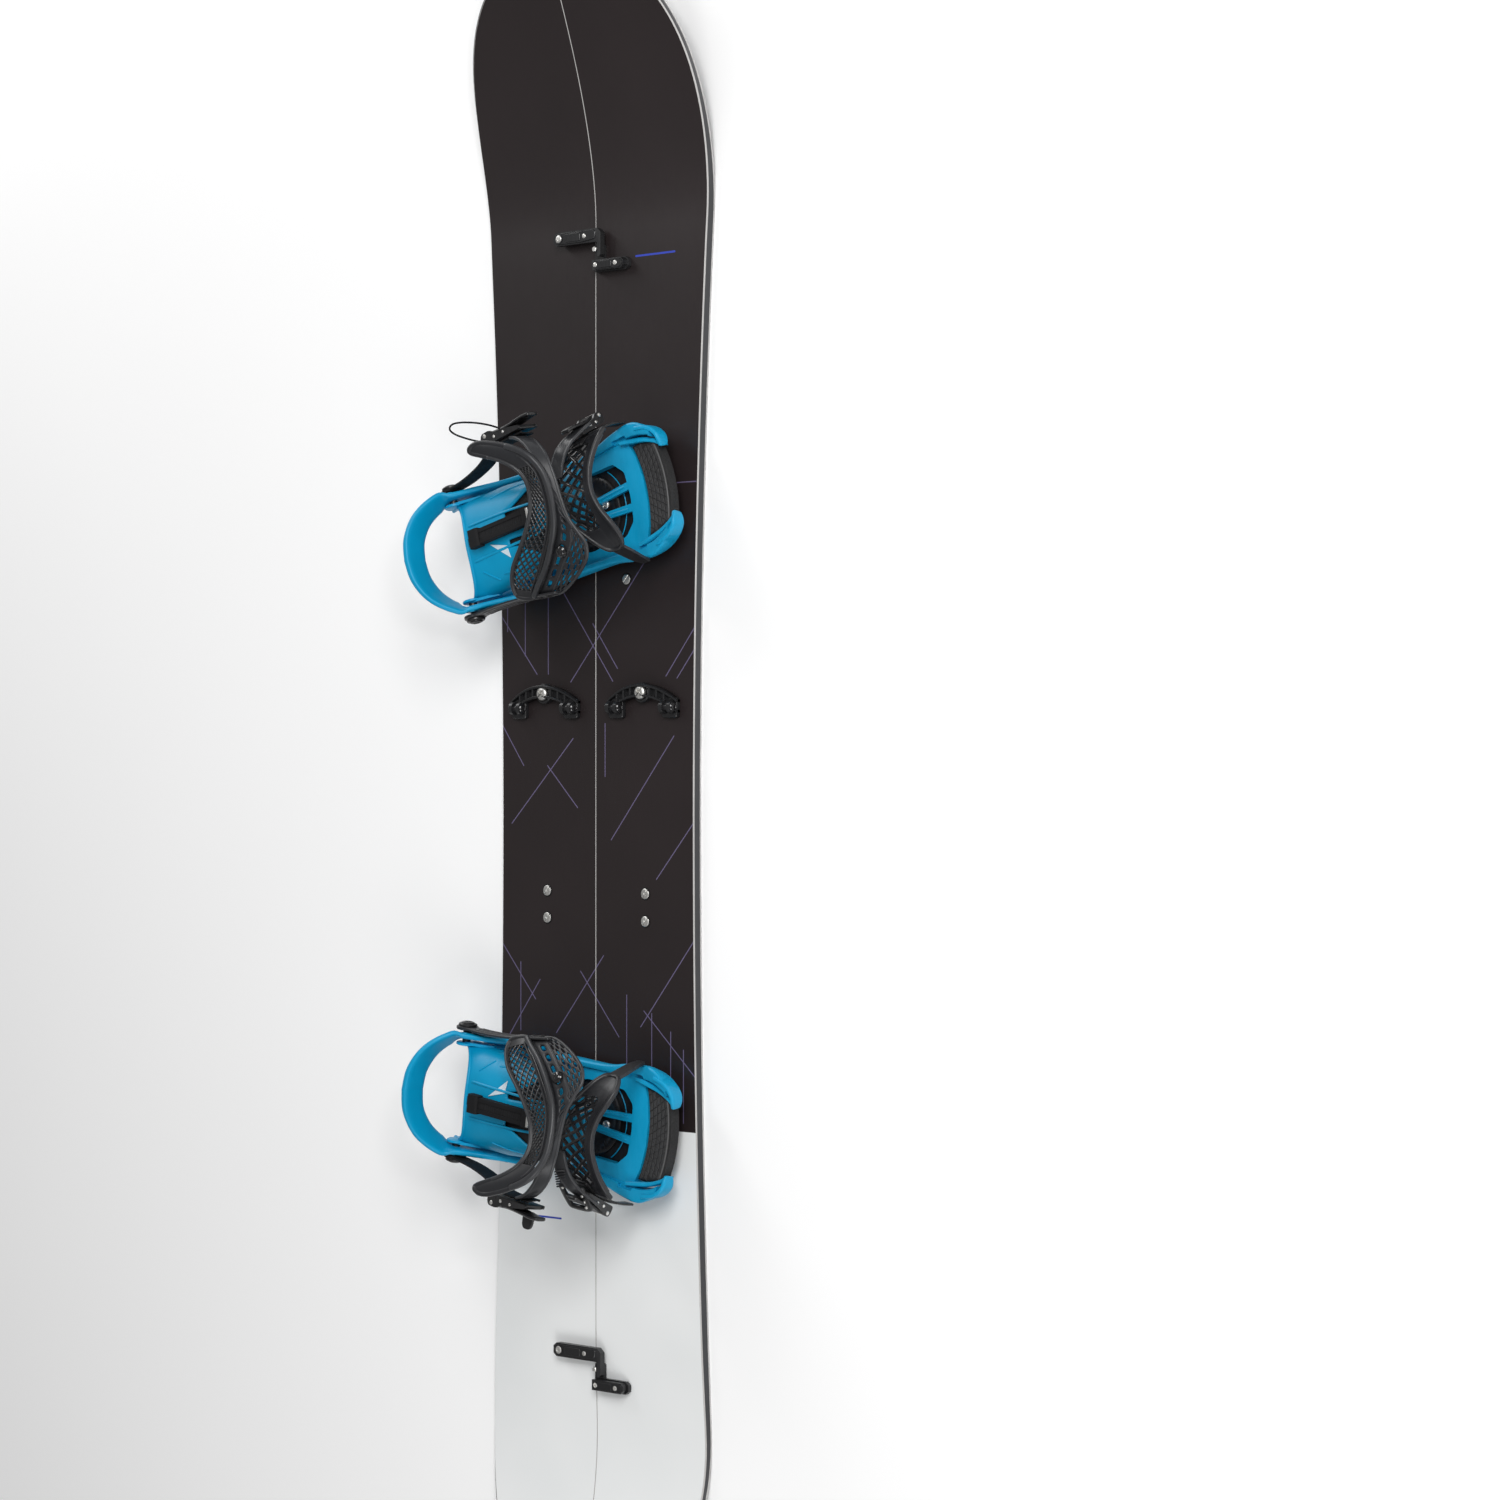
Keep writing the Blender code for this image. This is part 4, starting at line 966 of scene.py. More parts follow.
def mounting_disc(add):
    """Disc with its clamp ring, radial teeth and screws."""
    disc = [turned((DISC_U, 0, PLATE_Z), (0, 0, 1),
                   ((DISC_R - 0.6, 0.2), (DISC_R, 0.8), (DISC_R, 2.2), (DISC_R - 1.4, 3.1),
                    (DISC_R - 6, 3.1), (DISC_R - 7, 2.4), (16, 2.4), (15, 3.0), (9, 3.0), (8, 2.2)),
                   64)]
    for i in range(36):
        a = 2 * math.pi * i / 36
        if abs(math.sin(a)) > 0.15:
            c, s = math.cos(a), math.sin(a)
            disc.append(loft([[(DISC_U + c * r - s * w, s * r + c * w, PLATE_Z + n)
                               for w, n in ((-0.8, 2.8), (0.8, 2.8), (0.4, 3.7), (-0.4, 3.7))]
                              for r in (30.5, 34.5)]))
    add("disc_face", merge(*disc), BLACK, "binding", stands_for=("disc",), slot="moulded_black")
    heads = [screw_head((u, v, PLATE_Z + 2.2), (0, 0, 1), 4.4, 2.2, "cross") for u, v in
             ((29, 3.5), (-9, -3.5))]
    add("disc_screws", merge(*heads), SILVER, "binding", angle=30, slot="screw_steel")


def pad_bow(v):
    """How far the toe pad's curved edges fall back from their middle."""
    return 7.0 * (v / 42) ** 2


def toe_pad(add):
    """Foam ramp with a raised triangle tread and a smooth outer lip."""
    pad_start, pad_run, pad_rise = 87.9, 30.6, 3.2
    reach = ramp((80, 43.8), (88, 43.8), (106, 41.0), (121, 33.4))
    top, low = [], []
    deep, broad = 30, 60
    for r in range(deep + 1):
        x = r / deep
        row_t, row_b = [], []
        for c in range(broad + 1):
            w = 2 * c / broad - 1
            v = 43.8 * w
            u = pad_start - pad_bow(v) + pad_run * x
            v = reach(u) * w
            u = pad_start - pad_bow(v) + pad_run * x
            height = 22.0 + pad_rise * x - 1.0 * max(x - 0.9, 0) / 0.1
            rub = min((1 - abs(w)) / 0.04, x / 0.06, 1.0)
            row_t.append((u, v, height - 0.3 - 1.6 * (1 - rub)))
            row_b.append((u, v, 13.2))
        top.append(row_t)
        low.append(row_b)
    pad = add("toe_pad_tread", slab(top, low), FOAM, "binding", stands_for=("toe_pad",), angle=50,
              slot="pad_foam")
    tiles, high, broad = [], 5.4, 7.2
    for r in range(5):
        for c in range(-13, 14):
            ahead = 1 if (r + c) % 2 else -1
            mid_v = c * broad / 2
            flat = 89.6 - pad_bow(mid_v) + r * high + high / 2
            if abs(mid_v) > reach(flat) - 3.4:
                continue
            shape = []
            for lift, scale in ((-0.6, 0.86), (0.45, 0.80), (0.75, 0.66)):
                shape.append([(flat + a * scale * high * ahead, mid_v + b * scale * broad * ahead,
                               21.9 + pad_rise * (flat - pad_start) / pad_run + lift)
                              for a, b in ((-0.44, -0.5), (-0.44, 0.5), (0.56, 0.0))])
            tiles.append(loft(shape))
    add("toe_pad_tiles", merge(*tiles), RUBBER, "binding", angle=30, slot="pad_foam")
    line = [(88.2 - pad_bow(v) + 27.4, v, 24.6) for v in [-35.5 + 71 * i / 40 for i in range(41)]]
    add("toe_pad_piping", sweep(line, [(0, 0, 1)] * 41, 1.0, 0.9, 1.0, 8), PIPING, "binding",
        slot="pad_foam")


def hoop_bolts(add):
    """Side bolts with sunk hexagons, and the small rail bolts."""
    for where, s in (("inner", -1), ("outer", 1)):
        hub = (PIVOT_U, 0, PIVOT_Z)
        shank = turned(hub, (0, s, 0), ((4.0, 47.6), (4.0, 64.8)), 24)
        flange = turned(hub, (0, s, 0), ((8.6, 64.6), (9.0, 65.2), (9.0, 66.4), (8.2, 67.2)), 32)
        head = screw_head((PIVOT_U, s * 66.8, PIVOT_Z), (0, s, 0), 6.4, 2.2, "hex")
        add(where + "_side_bolt", merge(shank, flange, head), BLACK, "binding", angle=30,
            stands_for=(where + "_pivot_bolt",), slot="black_steel")
    rail_bolts = []
    for s in (-1, 1):
        for u, z in ((-58, 26.5), (-78, 33.0)):
            rail_bolts.append(turned((u, s * 58.8, z), (0, s, 0), ((4.2, 0), (4.2, 1.0), (3.4, 1.6)),
                                     20))
            rail_bolts.append(screw_head((u, s * 60.2, z), (0, s, 0), 3.0, 0.9, "hex"))
    add("hoop_bolts", merge(*rail_bolts), BLACK, "binding", angle=30, slot="black_steel")


def pucks(label, placed, tool):
    """The two blocks that the track slides on, with sunk screws and slots."""
    for where, u0 in (("heel", -98), ("toe", 16)):
        outline = [(-28, 0.3), (28, 0.3), (28, 4.2), (35, 4.2), (35, 9), (-35, 9), (-35, 4.2),
                   (-28, 4.2)]
        puck = tool(loft([[(u, v, z) for v, z in outline] for u in (u0, u0 + 80)]))
        cuts, heads = [], []
        for u in (u0 + 18, u0 + 40, u0 + 62):
            for v in (-14, 14):
                cuts.append(tool(turned((u, v, 5.6), (0, 0, 1), ((4.6, 0), (4.6, 1.4), (5.8, 4.4)),
                                        28)))
                heads.append(screw_head((u, v, 5.5), (0, 0, 1), 4.4, 2.2, "cross"))
        for v in (-25.5, 0, 25.5):
            slot = rounded([(u0 + 8, v - 2.6), (u0 + 72, v - 2.6), (u0 + 72, v + 2.6),
                            (u0 + 8, v + 2.6)], 2.6)
            cuts.append(tool(prism(slot, 6.6, 12)))
        boolean(puck, cuts, "DIFFERENCE")
        puck.name = f"{label}_{where}_puck_block"
        puck.data.materials.clear()
        puck.data.materials.append(DARK)
        finish_piece(puck, "board", angle=30, bevel=0.0005, replaces=(f"{label}_{where}_puck",),
                     slot="moulded_black")
        piece(f"{label}_{where}_puck_screws", placed(merge(*heads)), SILVER, "board", angle=32,
              slot="screw_steel")


# edge lines of the ankle strap, from the inner clamp over the instep to the outer tongue
ANKLE_HEEL = ((-38, -69, 86), (-35, -58, 93), (-22, -46, 102), (1, -33, 111), (21, -19, 118),
              (34, -6, 123), (41, 8, 128), (42, 20, 133), (37, 31, 139), (25, 41, 144), (8, 50, 148),
              (-6, 57, 150))
ANKLE_TOE = ((-18, -76, 84), (-4, -70, 91), (22, -60, 103), (42, -46, 112), (57, -31, 119),
             (64, -17, 124), (68, -1, 129), (69, 16, 134), (64, 31, 140), (52, 43, 144), (32, 54, 147),
             (8, 64, 150))
# edge lines of the carrier beneath it, from the clamp to the ratchet
CARRIER_HEEL = ((-16, -75, 82), (-4, -69, 88), (20, -59, 100), (40, -45, 109), (55, -30, 116),
                (61, -17, 121), (64, -1, 125), (64, 14, 129), (61, 27, 131), (55, 38, 131),
                (46, 50, 128), (34, 60, 124), (18, 66.5, 119))
CARRIER_TOE = ((14, -81, 82), (34, -79, 89), (57, -73, 97), (73, -65, 103), (79, -54, 108),
               (76, -42, 113), (71.5, -28, 117), (71, -10, 121), (71.5, 8, 124), (70, 23, 125.5),
               (65, 37, 124), (50, 53, 118), (24, 67, 105))


def even(value):
    """An edge function that stays at one value."""
    return lambda s: value


def around(edge, *tip):
    """A closed run along an edge, past the tip and back along the edge's mirror image."""
    return [(s, -w) for s, w in edge] + list(tip) + [(s, w) for s, w in reversed(edge)]


def ankle_strap(add):
    """Open frame over the instep, its raised edges, lattice and inlay."""
    strap = Strap(ANKLE_HEEL, ANKLE_TOE, 1.8)
    edge = [(0.0, 0.5), (0.012, 0.90), (0.06, 0.93), (0.15, 0.93), (0.30, 0.93), (0.45, 0.93),
            (0.60, 0.93), (0.75, 0.93), (0.88, 0.92), (0.965, 0.86), (0.995, 0.45)]
    frame_bars = [strap.bar(around(edge, (1.0, 0.0)) + [(0.0, 0.0)], 2.4, 2.5, 0.0, 200, 0.75, 12,
                            closed=True)]
    add("ankle_strap_rim", merge(strap.bar([(0.03 + 0.06 * i, 0.93) for i in range(15)], 2.9, 2.6,
                                           1.6, 90, 0.75, 12),
                                 strap.bar([(0.03 + 0.06 * i, -0.95) for i in range(15)], 1.7, 1.6,
                                           1.7, 90, 0.75, 10)), RIM, "ankle_body", angle=50,
        slot="strap_charcoal")
    frame_bars.append(strap.bar([(0.06 + 0.06 * i, 0.48 + 0.10 * math.cos(0.3 * i))
                                 for i in range(13)], 1.1, 1.5, 0.6, 80, 0.8, 8))
    frame_bars.append(strap.plate(0.70, 0.992, even(-0.86), even(0.86), 2.8, 30, 10, 0.0))
    frame_bars.append(strap.plate(0.01, 0.07, even(-0.86), even(0.86), 2.6, 6, 10, 0.0))
    add("ankle_strap_frame", merge(*frame_bars), STRAP, "ankle_body", angle=50,
        stands_for=("ankle_strap",), slot="strap_charcoal")
    net = strap.lattice(0.05, 0.71, even(-0.86), lambda s: 0.48 + 0.10 * math.cos(5 * s - 0.3), 4,
                        0.034, 0.85, 1.1)
    add("ankle_strap_lattice", net, LATTICE, "ankle_body", angle=60, slot="strap_charcoal")
    leaf = merge(strap.plate(0.10, 0.66, lambda s: 0.56 + 0.06 * math.cos(5 * s), even(0.88), 1.8, 40,
                             4, -0.2),
                 strap.bar([(0.14, 0.70), (0.25, 0.66), (0.36, 0.70), (0.48, 0.74)], 1.6, 1.6, 0.6,
                           50))
    add("ankle_strap_inlay", leaf, LATTICE, "ankle_body", angle=50, slot="strap_charcoal")


def ankle_carrier(add):
    """Carrier under the frame: its rim, slotted rail, wing of round cells and adjusting bolt."""
    carrier = Strap(CARRIER_HEEL, CARRIER_TOE, 0.6)
    body = [carrier.bar([(0.0, 0.0), (0.0, 0.6), (0.02, 0.93), (0.10, 0.95), (0.20, 0.95),
                         (0.30, 0.95), (0.40, 0.95), (0.55, 0.95), (0.70, 0.95), (0.85, 0.95),
                         (0.97, 0.92), (1.0, 0.4), (1.0, -0.4), (0.97, -0.92), (0.85, -0.95),
                         (0.70, -0.95), (0.55, -0.95), (0.40, -0.95), (0.20, -0.95),
                         (0.05, -0.95), (0.0, -0.6)], 1.5, 1.5, 0.0, 160, 0.75, 8, closed=True)]
    mid = ramp((0.0, 0.10), (0.20, -0.16), (0.34, 0.06), (0.46, 0.88))
    body.append(carrier.plate(0.46, 0.995, even(-0.9), even(0.9), 2.2, 40, 8, 0.0))
    body.append(carrier.bar([(0.02, mid(0.02)), (0.10, mid(0.10)), (0.20, mid(0.20)),
                             (0.30, mid(0.30)), (0.38, mid(0.38))], 1.1, 1.4, 0.4, 50))
    add("ankle_carrier", merge(*body), RIM, "ankle_body", angle=50, slot="strap_charcoal")

    def holes(r, c):
        return not (c in (3, 4) and 4 <= r <= 52 and r % 5 in (1, 2, 3))

    add("ankle_carrier_rail", carrier.plate(0.02, 0.60, even(-0.94),
                                            lambda s: min(mid(s), 0.92), 2.6, 56, 8, 0.2, holes),
        STRAP, "ankle_body", levels=1, slot="strap_charcoal")

    def cells(r, c):
        return not ((r % 6 in (1, 2, 3) and c % 4 == 1) or (r % 6 in (4, 5, 0) and c % 4 == 3))

    add("ankle_carrier_wing", carrier.plate(0.015, 0.42, lambda s: min(mid(s), 0.90), even(0.95),
                                            2.0, 42, 12, 0.0, cells), STRAP, "ankle_body",
        levels=1, slot="strap_charcoal")
    spot, out = carrier.at(0.245, -0.42, 1.4)
    knob = merge(turned(spot, out, ((5.6, 0), (6.2, 0.8), (6.0, 2.2), (4.8, 3.4)), 32),
                 screw_head(spot + out * 3.0, out, 4.4, 1.6, "hex"))
    add("ankle_carrier_bolt", knob, GLOSS, "ankle_body", angle=30, slot="black_steel")


def ankle_arm(add):
    """Arm from the inner side bolt to the strap's lower end."""
    run = spline(((PIVOT_U, -62.9, PIVOT_Z), (-96, -63.4, 61), (-62, -66.5, 67), (-32, -71.5, 75),
                  (-8, -76.5, 81), (12, -80.0, 84)), 60)
    outs = [(0, -1, 0)] * 60
    arm = [sweep(run, outs, [8.5] * 46 + [8.5 - 0.25 * i for i in range(14)], 1.6, 0.5, 14)]
    for s in (-1, 0, 1):
        ridge = [(u, v - 1.6, z + s * 5.4) for u, v, z in run[8:52]]
        arm.append(sweep(ridge, outs[:44], 1.0, 0.6, 0.8, 8))
    eye = turned((PIVOT_U, 0, PIVOT_Z), (0, -1, 0), ((10.4, 61.2), (10.8, 61.8), (10.8, 64.0),
                                                     (10.0, 64.5)), 36)
    arm.append(eye)
    add("ankle_arm_moulding", merge(*arm), STRAP, "ankle_body", angle=45,
        stands_for=("ankle_arm",), slot="strap_charcoal")
    joins = []
    for i in (44, 51):
        u, v, z = run[i]
        joins.append(screw_head((u, v - 1.7, z), (0, -1, 0), 3.4, 1.1, "slot"))
    add("ankle_arm_screws", merge(*joins), BLACK, "ankle_body", angle=30, slot="black_steel")


def ankle_ladder(add):
    """Ladder strip from the outer side bolt, and the ratchet it runs through."""
    path = ((PIVOT_U, 62.6, PIVOT_Z), (-92, 63.0, 65), (-56, 64, 79), (-22, 65.7, 97),
            (4, 66.0, 108), (36, 65.7, 111))
    ladder = ladder_shape(path, lambda t: (0, 1, 0), 8.3, 34)
    eye = turned((PIVOT_U, 0, PIVOT_Z), (0, 1, 0), ((10.4, 61.2), (10.8, 61.7), (10.8, 63.4),
                                                    (10.0, 63.9)), 36)
    add("ankle_ladder_strip", merge(ladder, eye), DARK, "ankle_body", angle=35,
        stands_for=("ankle_ladder",), slot="strap_charcoal")
    body, pins, lever = ratchet_shapes((12, 69.4, 109.0), (32, 0, 3), (0, 1, 0.1), 54, 12)
    add("ankle_ratchet_body", body, BLACK, "ankle_body", angle=35, stands_for=("ankle_buckle",),
        slot="moulded_black")
    add("ankle_ratchet_pins", pins, SILVER, "ankle_body", angle=35, slot="screw_steel")
    add("ankle_ratchet_lever", lever, BLACK, "ankle_lever_body", angle=40,
        stands_for=("ankle_lever",), slot="moulded_black")


# edge lines of the toe strap, from the ratchet side over the toe to the inner tail
TOE_HEEL = ((66, 51, 76), (58, 44, 84), (50, 33, 88), (43, 18, 92), (39, 3, 94), (41, -10, 95),
            (46, -23, 93), (55, -35, 88), (64, -48, 80), (72, -58, 69))
TOE_TOE = ((97, 54, 72), (96, 47, 79), (91, 35, 85), (86, 21, 89), (84, 7, 92), (85, -8, 93),
           (89, -23, 91), (94, -37, 86), (95, -49, 78), (88, -58, 69))


TOE_SURFACE = Strap(TOE_HEEL, TOE_TOE, 1.6)


def toe_strap(add):
    """Open pad over the toe: frame, lattice, slotted shelf and lip."""
    strap = TOE_SURFACE
    edge = [(0.0, 0.4), (0.01, 0.85), (0.06, 0.93), (0.18, 0.93), (0.32, 0.93), (0.46, 0.93),
            (0.60, 0.93), (0.74, 0.93), (0.87, 0.93), (0.97, 0.88), (1.0, 0.3)]
    bars = [strap.bar(around(edge), 2.2, 2.4, 0.0, 180, 0.75, 12, closed=True)]
    inner_edge = ramp((0.0, 0.0), (0.18, 0.45), (0.45, 0.62), (0.70, 0.50), (0.86, 0.0))
    bars.append(strap.plate(0.005, 0.99, inner_edge, even(0.90), 2.8, 60, 6, 0.3))
    bars.append(strap.bar([(0.02, 0.05), (0.10, 0.28), (0.18, 0.47), (0.32, 0.57), (0.45, 0.63),
                           (0.60, 0.58), (0.72, 0.46), (0.82, 0.10), (0.86, -0.2)], 1.6, 1.9, 0.8,
                          90, 0.75, 10))
    bars.append(strap.plate(0.0, 0.14, even(-0.88), lambda s: inner_edge(s) + 0.02, 2.8, 12, 8, 0.1))
    bars.append(strap.plate(0.80, 0.995, even(-0.88), lambda s: inner_edge(s) + 0.05, 2.8, 14, 8,
                            0.3))
    add("toe_strap_frame", merge(*bars), STRAP, "toe_body", angle=50, stands_for=("toe_strap",),
        slot="strap_charcoal")
    shelf = ramp((0.0, -0.82), (0.35, -0.80), (0.55, -0.52), (0.95, -0.36))
    net = strap.lattice(0.12, 0.82, shelf, inner_edge, 2, 0.088, 1.75, 2.0, 0.4)
    add("toe_strap_lattice", net, GLOSS, "toe_body", angle=60, slot="strap_charcoal")

    def holes(r, c):
        return not (c in (2, 3) and 18 <= r <= 44 and r % 5 in (1, 2, 3))

    add("toe_strap_shelf", strap.plate(0.10, 0.97, even(-0.95), shelf, 3.0, 56, 6, 1.2, holes),
        STRAP, "toe_body", levels=1, slot="strap_charcoal")
    lip = strap.bar([(0.40, shelf(0.40) + 0.02), (0.55, shelf(0.55) + 0.02),
                     (0.75, shelf(0.75) + 0.02), (0.95, shelf(0.95) + 0.02)], 1.0, 1.4, 2.2, 50)
    lip = merge(lip, strap.bar([(0.10, 0.96), (0.25, 0.95), (0.45, 0.95), (0.65, 0.95), (0.85, 0.94),
                                (0.97, 0.86)], 1.5, 1.6, 1.8, 80, 0.75, 10))
    add("toe_strap_lip", lip, RIM, "toe_body", angle=50, slot="strap_charcoal")


def toe_tail(add):
    """Inner tail into the wing slot, with its rivets and the strap's studs."""
    tail = Strap(((67, -48, 76), (68, -55, 66), (70, -61.0, 53), (70.5, -65.8, 38), (72, -67.8, 27)),
                 ((83, -49, 76), (84, -56, 66), (85, -61.6, 53), (83.0, -66.4, 38), (80, -67.8, 27)),
                 0.2, 40)
    tail_shape = merge(tail.plate(0, 1, even(-1), even(1), 2.4, 30, 6, 1.0),
                       *[tail.bar([(0.05, w), (0.5, w), (0.95, w)], 0.8, 1.4, 1.6, 30)
                         for w in (-0.86, 0.86)])
    add("toe_strap_tail", tail_shape, STRAP, "toe_body", angle=50, slot="strap_charcoal")
    studs = []
    for s in (0.34, 0.58):
        spot, out = tail.at(s, 0.0, 2.2)
        studs.append(screw_head(spot, out, 2.6, 1.0, "hex"))
    for s, w in ((0.80, -0.62), (0.90, -0.60), (0.93, 0.30)):
        spot, out = TOE_SURFACE.at(s, w, 2.6)
        studs.append(screw_head(spot, out, 2.2, 1.0, "plain"))
    add("toe_strap_studs", merge(*studs), SILVER, "toe_body", angle=30, slot="screw_steel")


def toe_ladder(add):
    """Ladder strip from the outer wing, and its ratchet."""
    path = ((TOE_PIVOT_U, 67.0, 25), (73, 65.2, 42), (69.5, 59.2, 59), (70, 51.5, 75), (71, 42, 87))
    ladder = ladder_shape(path, lambda t: (0, 1, 0.45 + 0.9 * t), 7.4, 18)
    add("toe_ladder_strip", ladder, BLACK, "toe_body", angle=35, stands_for=("toe_ladder",),
        slot="strap_charcoal")
    body, pins, lever = ratchet_shapes((69.5, 58.4, 68.0), (1, -7.5, 16), (0, 1, 0.45), 40, 11)
    add("toe_ratchet_body", body, BLACK, "toe_body", angle=35, stands_for=("toe_buckle",),
        slot="moulded_black")
    add("toe_ratchet_pins", pins, SILVER, "toe_body", angle=35, slot="screw_steel")
    add("toe_ratchet_lever", lever, BLACK, "toe_lever_body", angle=40, stands_for=("toe_lever",),
        slot="moulded_black")


def toe_tongue(add):
    """Rounded tongue lying over the strap from the ratchet."""
    tip = Strap(((70, 61, 78), (68, 55, 89), (64, 49, 97), (57.5, 41, 102), (52.5, 31, 104.5),
                 (51, 23, 105), (52, 16, 104.5)),
                ((85, 62, 77), (83, 54, 89), (78, 46, 98), (72, 37, 103), (67, 27, 105.5),
                 (64.5, 20, 106), (62, 15, 105)), 0.8, 40)
    edge = [(0.0, 0.9), (0.25, 0.93), (0.5, 0.93), (0.8, 0.93), (0.97, 0.75)]
    rim = tip.bar([(0.0, 0.0)] + around(edge, (1.0, 0.0)), 1.3, 1.6, 0.4, 90, closed=True)
    add("toe_strap_tongue", merge(tip.plate(0, 1, even(-0.92), even(0.92), 2.2, 30, 6, 0.2), rim),
        RIM, "toe_body", angle=50, slot="strap_charcoal")


def rear_buckle(add):
    """Window-shaped frame with a ribbed tab above the rear toe ratchet."""
    corners = ((53, 50, 93.5), (57, 47.2, 95.5), (76, 47.0, 94.5), (79.5, 49.5, 92.5),
               (78.5, 64, 81.5), (75, 67.5, 79), (58, 68.5, 79), (53.5, 66, 81.0))
    out = (0.05, 0.60, 0.80)
    ring = spline(corners, 72, True)
    bars = [sweep(ring, [out] * 72, 2.7, 2.0, 0.6, 12, closed=True),
            sweep([(55, 57.5, 88.4), (66, 57.5, 88.4), (77, 57.5, 87.6)], [out] * 3, 1.5, 1.2, 0.7,
                  10)]
    add("toe_frame_buckle", merge(*bars), BLACK, "toe_body", angle=45, slot="moulded_black")
    pins = [turned((u, v, z), out, ((1.5, 1.2), (1.5, 2.3), (1.1, 2.7)), 16)
            for u, v, z in ((77.6, 53, 90.4), (77.2, 59, 86.0), (76.8, 64.5, 82.0), (56, 49, 94.5))]
    add("toe_frame_pins", merge(*pins), SILVER, "toe_body", angle=35, slot="screw_steel")
    ribs = []
    for i in range(7):
        v = 33 + i * 2.5
        z = 106.0 - i * 1.25
        ribs.append(sweep([(60 - 0.4 * i + a, v - a * 0.30, z) for a in (-6, 0, 6)],
                          [(0.1, 0.45, 0.88)] * 3, 0.8, 0.9, 0.8, 8))
    add("toe_tab_ribs", merge(*ribs), STRAP, "toe_body", angle=45, slot="strap_charcoal")
    pull = rounded(((-7, 0), (7, 0), (6.2, 13), (3.6, 16.5), (-3.6, 16.5), (-6.2, 13)), 2.4)
    tab = loft([[(26 + a, 78.6 + b, z + b * 0.10) for a, b in pull] for z in (103.2, 106.0)])
    add("ankle_pull_tab", tab, BLACK, "ankle_lever_body", bevel=0.0006, angle=40,
        slot="moulded_black")


def binding_frame(label):
    """Origin of a binding on the topsheet, with its toe-ward and outward directions."""
    centre_x, angle, mirror = BINDINGS[label]
    turn = math.radians(angle)
    toe = Vector((math.sin(turn), -math.cos(turn), 0))
    outer = Vector((math.cos(turn), math.sin(turn), 0)) * (-1 if mirror else 1)
    return Vector((centre_x, 0, CORE_THICK)), toe, outer


def make_binding(label):
    base, toe, outer = binding_frame(label)

    def world(point):
        u, v, z = (c * MM for c in point)
        return base + toe * u + outer * v + Vector((0, 0, z))

    def placed(shape):
        return [tuple(world(v)) for v in shape[0]], shape[1]

    def add(name, shape, mats, body, **options):
        nodes = tuple(f"{label}_{n}" for n in options.pop("stands_for", ()))
        return piece(f"{label}_{name}", placed(shape), mats, f"{label}_{body}", replaces=nodes,
                     **options)

    def tool(shape):
        return raw("tool", placed(shape), BLUE)

    heel_hoop(add)
    highback(add)
    lean_bar(add)
    baseplate(label, add, tool)
    mounting_disc(add)
    toe_pad(add)
    hoop_bolts(add)
    pucks(label, placed, tool)
    ankle_strap(add)
    ankle_carrier(add)
    ankle_arm(add)
    ankle_ladder(add)
    toe_strap(add)
    toe_tail(add)
    toe_ladder(add)
    toe_tongue(add)
    if label == "rear":
        rear_buckle(add)


for label in BINDINGS:
    make_binding(label)


# ---------------------------------------------------------------- board hardware
def on_board(cx, cy, z):
    """Millimetre offsets about a spot on the board, as row-frame points."""
    def place(shape):
        return [(cx + x * MM, cy + y * MM, z + h * MM) for x, y, h in shape[0]], shape[1]
    return place


def block(outline, z0, z1, inset=0.6):
    """Extruded outline with its upper edge drawn in a little."""
    cx = sum(x for x, y in outline) / len(outline)
    cy = sum(y for x, y in outline) / len(outline)
    far = max(math.hypot(x - cx, y - cy) for x, y in outline)
    small = [(cx + (x - cx) * (1 - inset / far), cy + (y - cy) * (1 - inset / far))
             for x, y in outline]
    return loft([[(x, y, z0) for x, y in outline], [(x, y, z1 - inset) for x, y in outline],
                 [(x, y, z1) for x, y in small]])


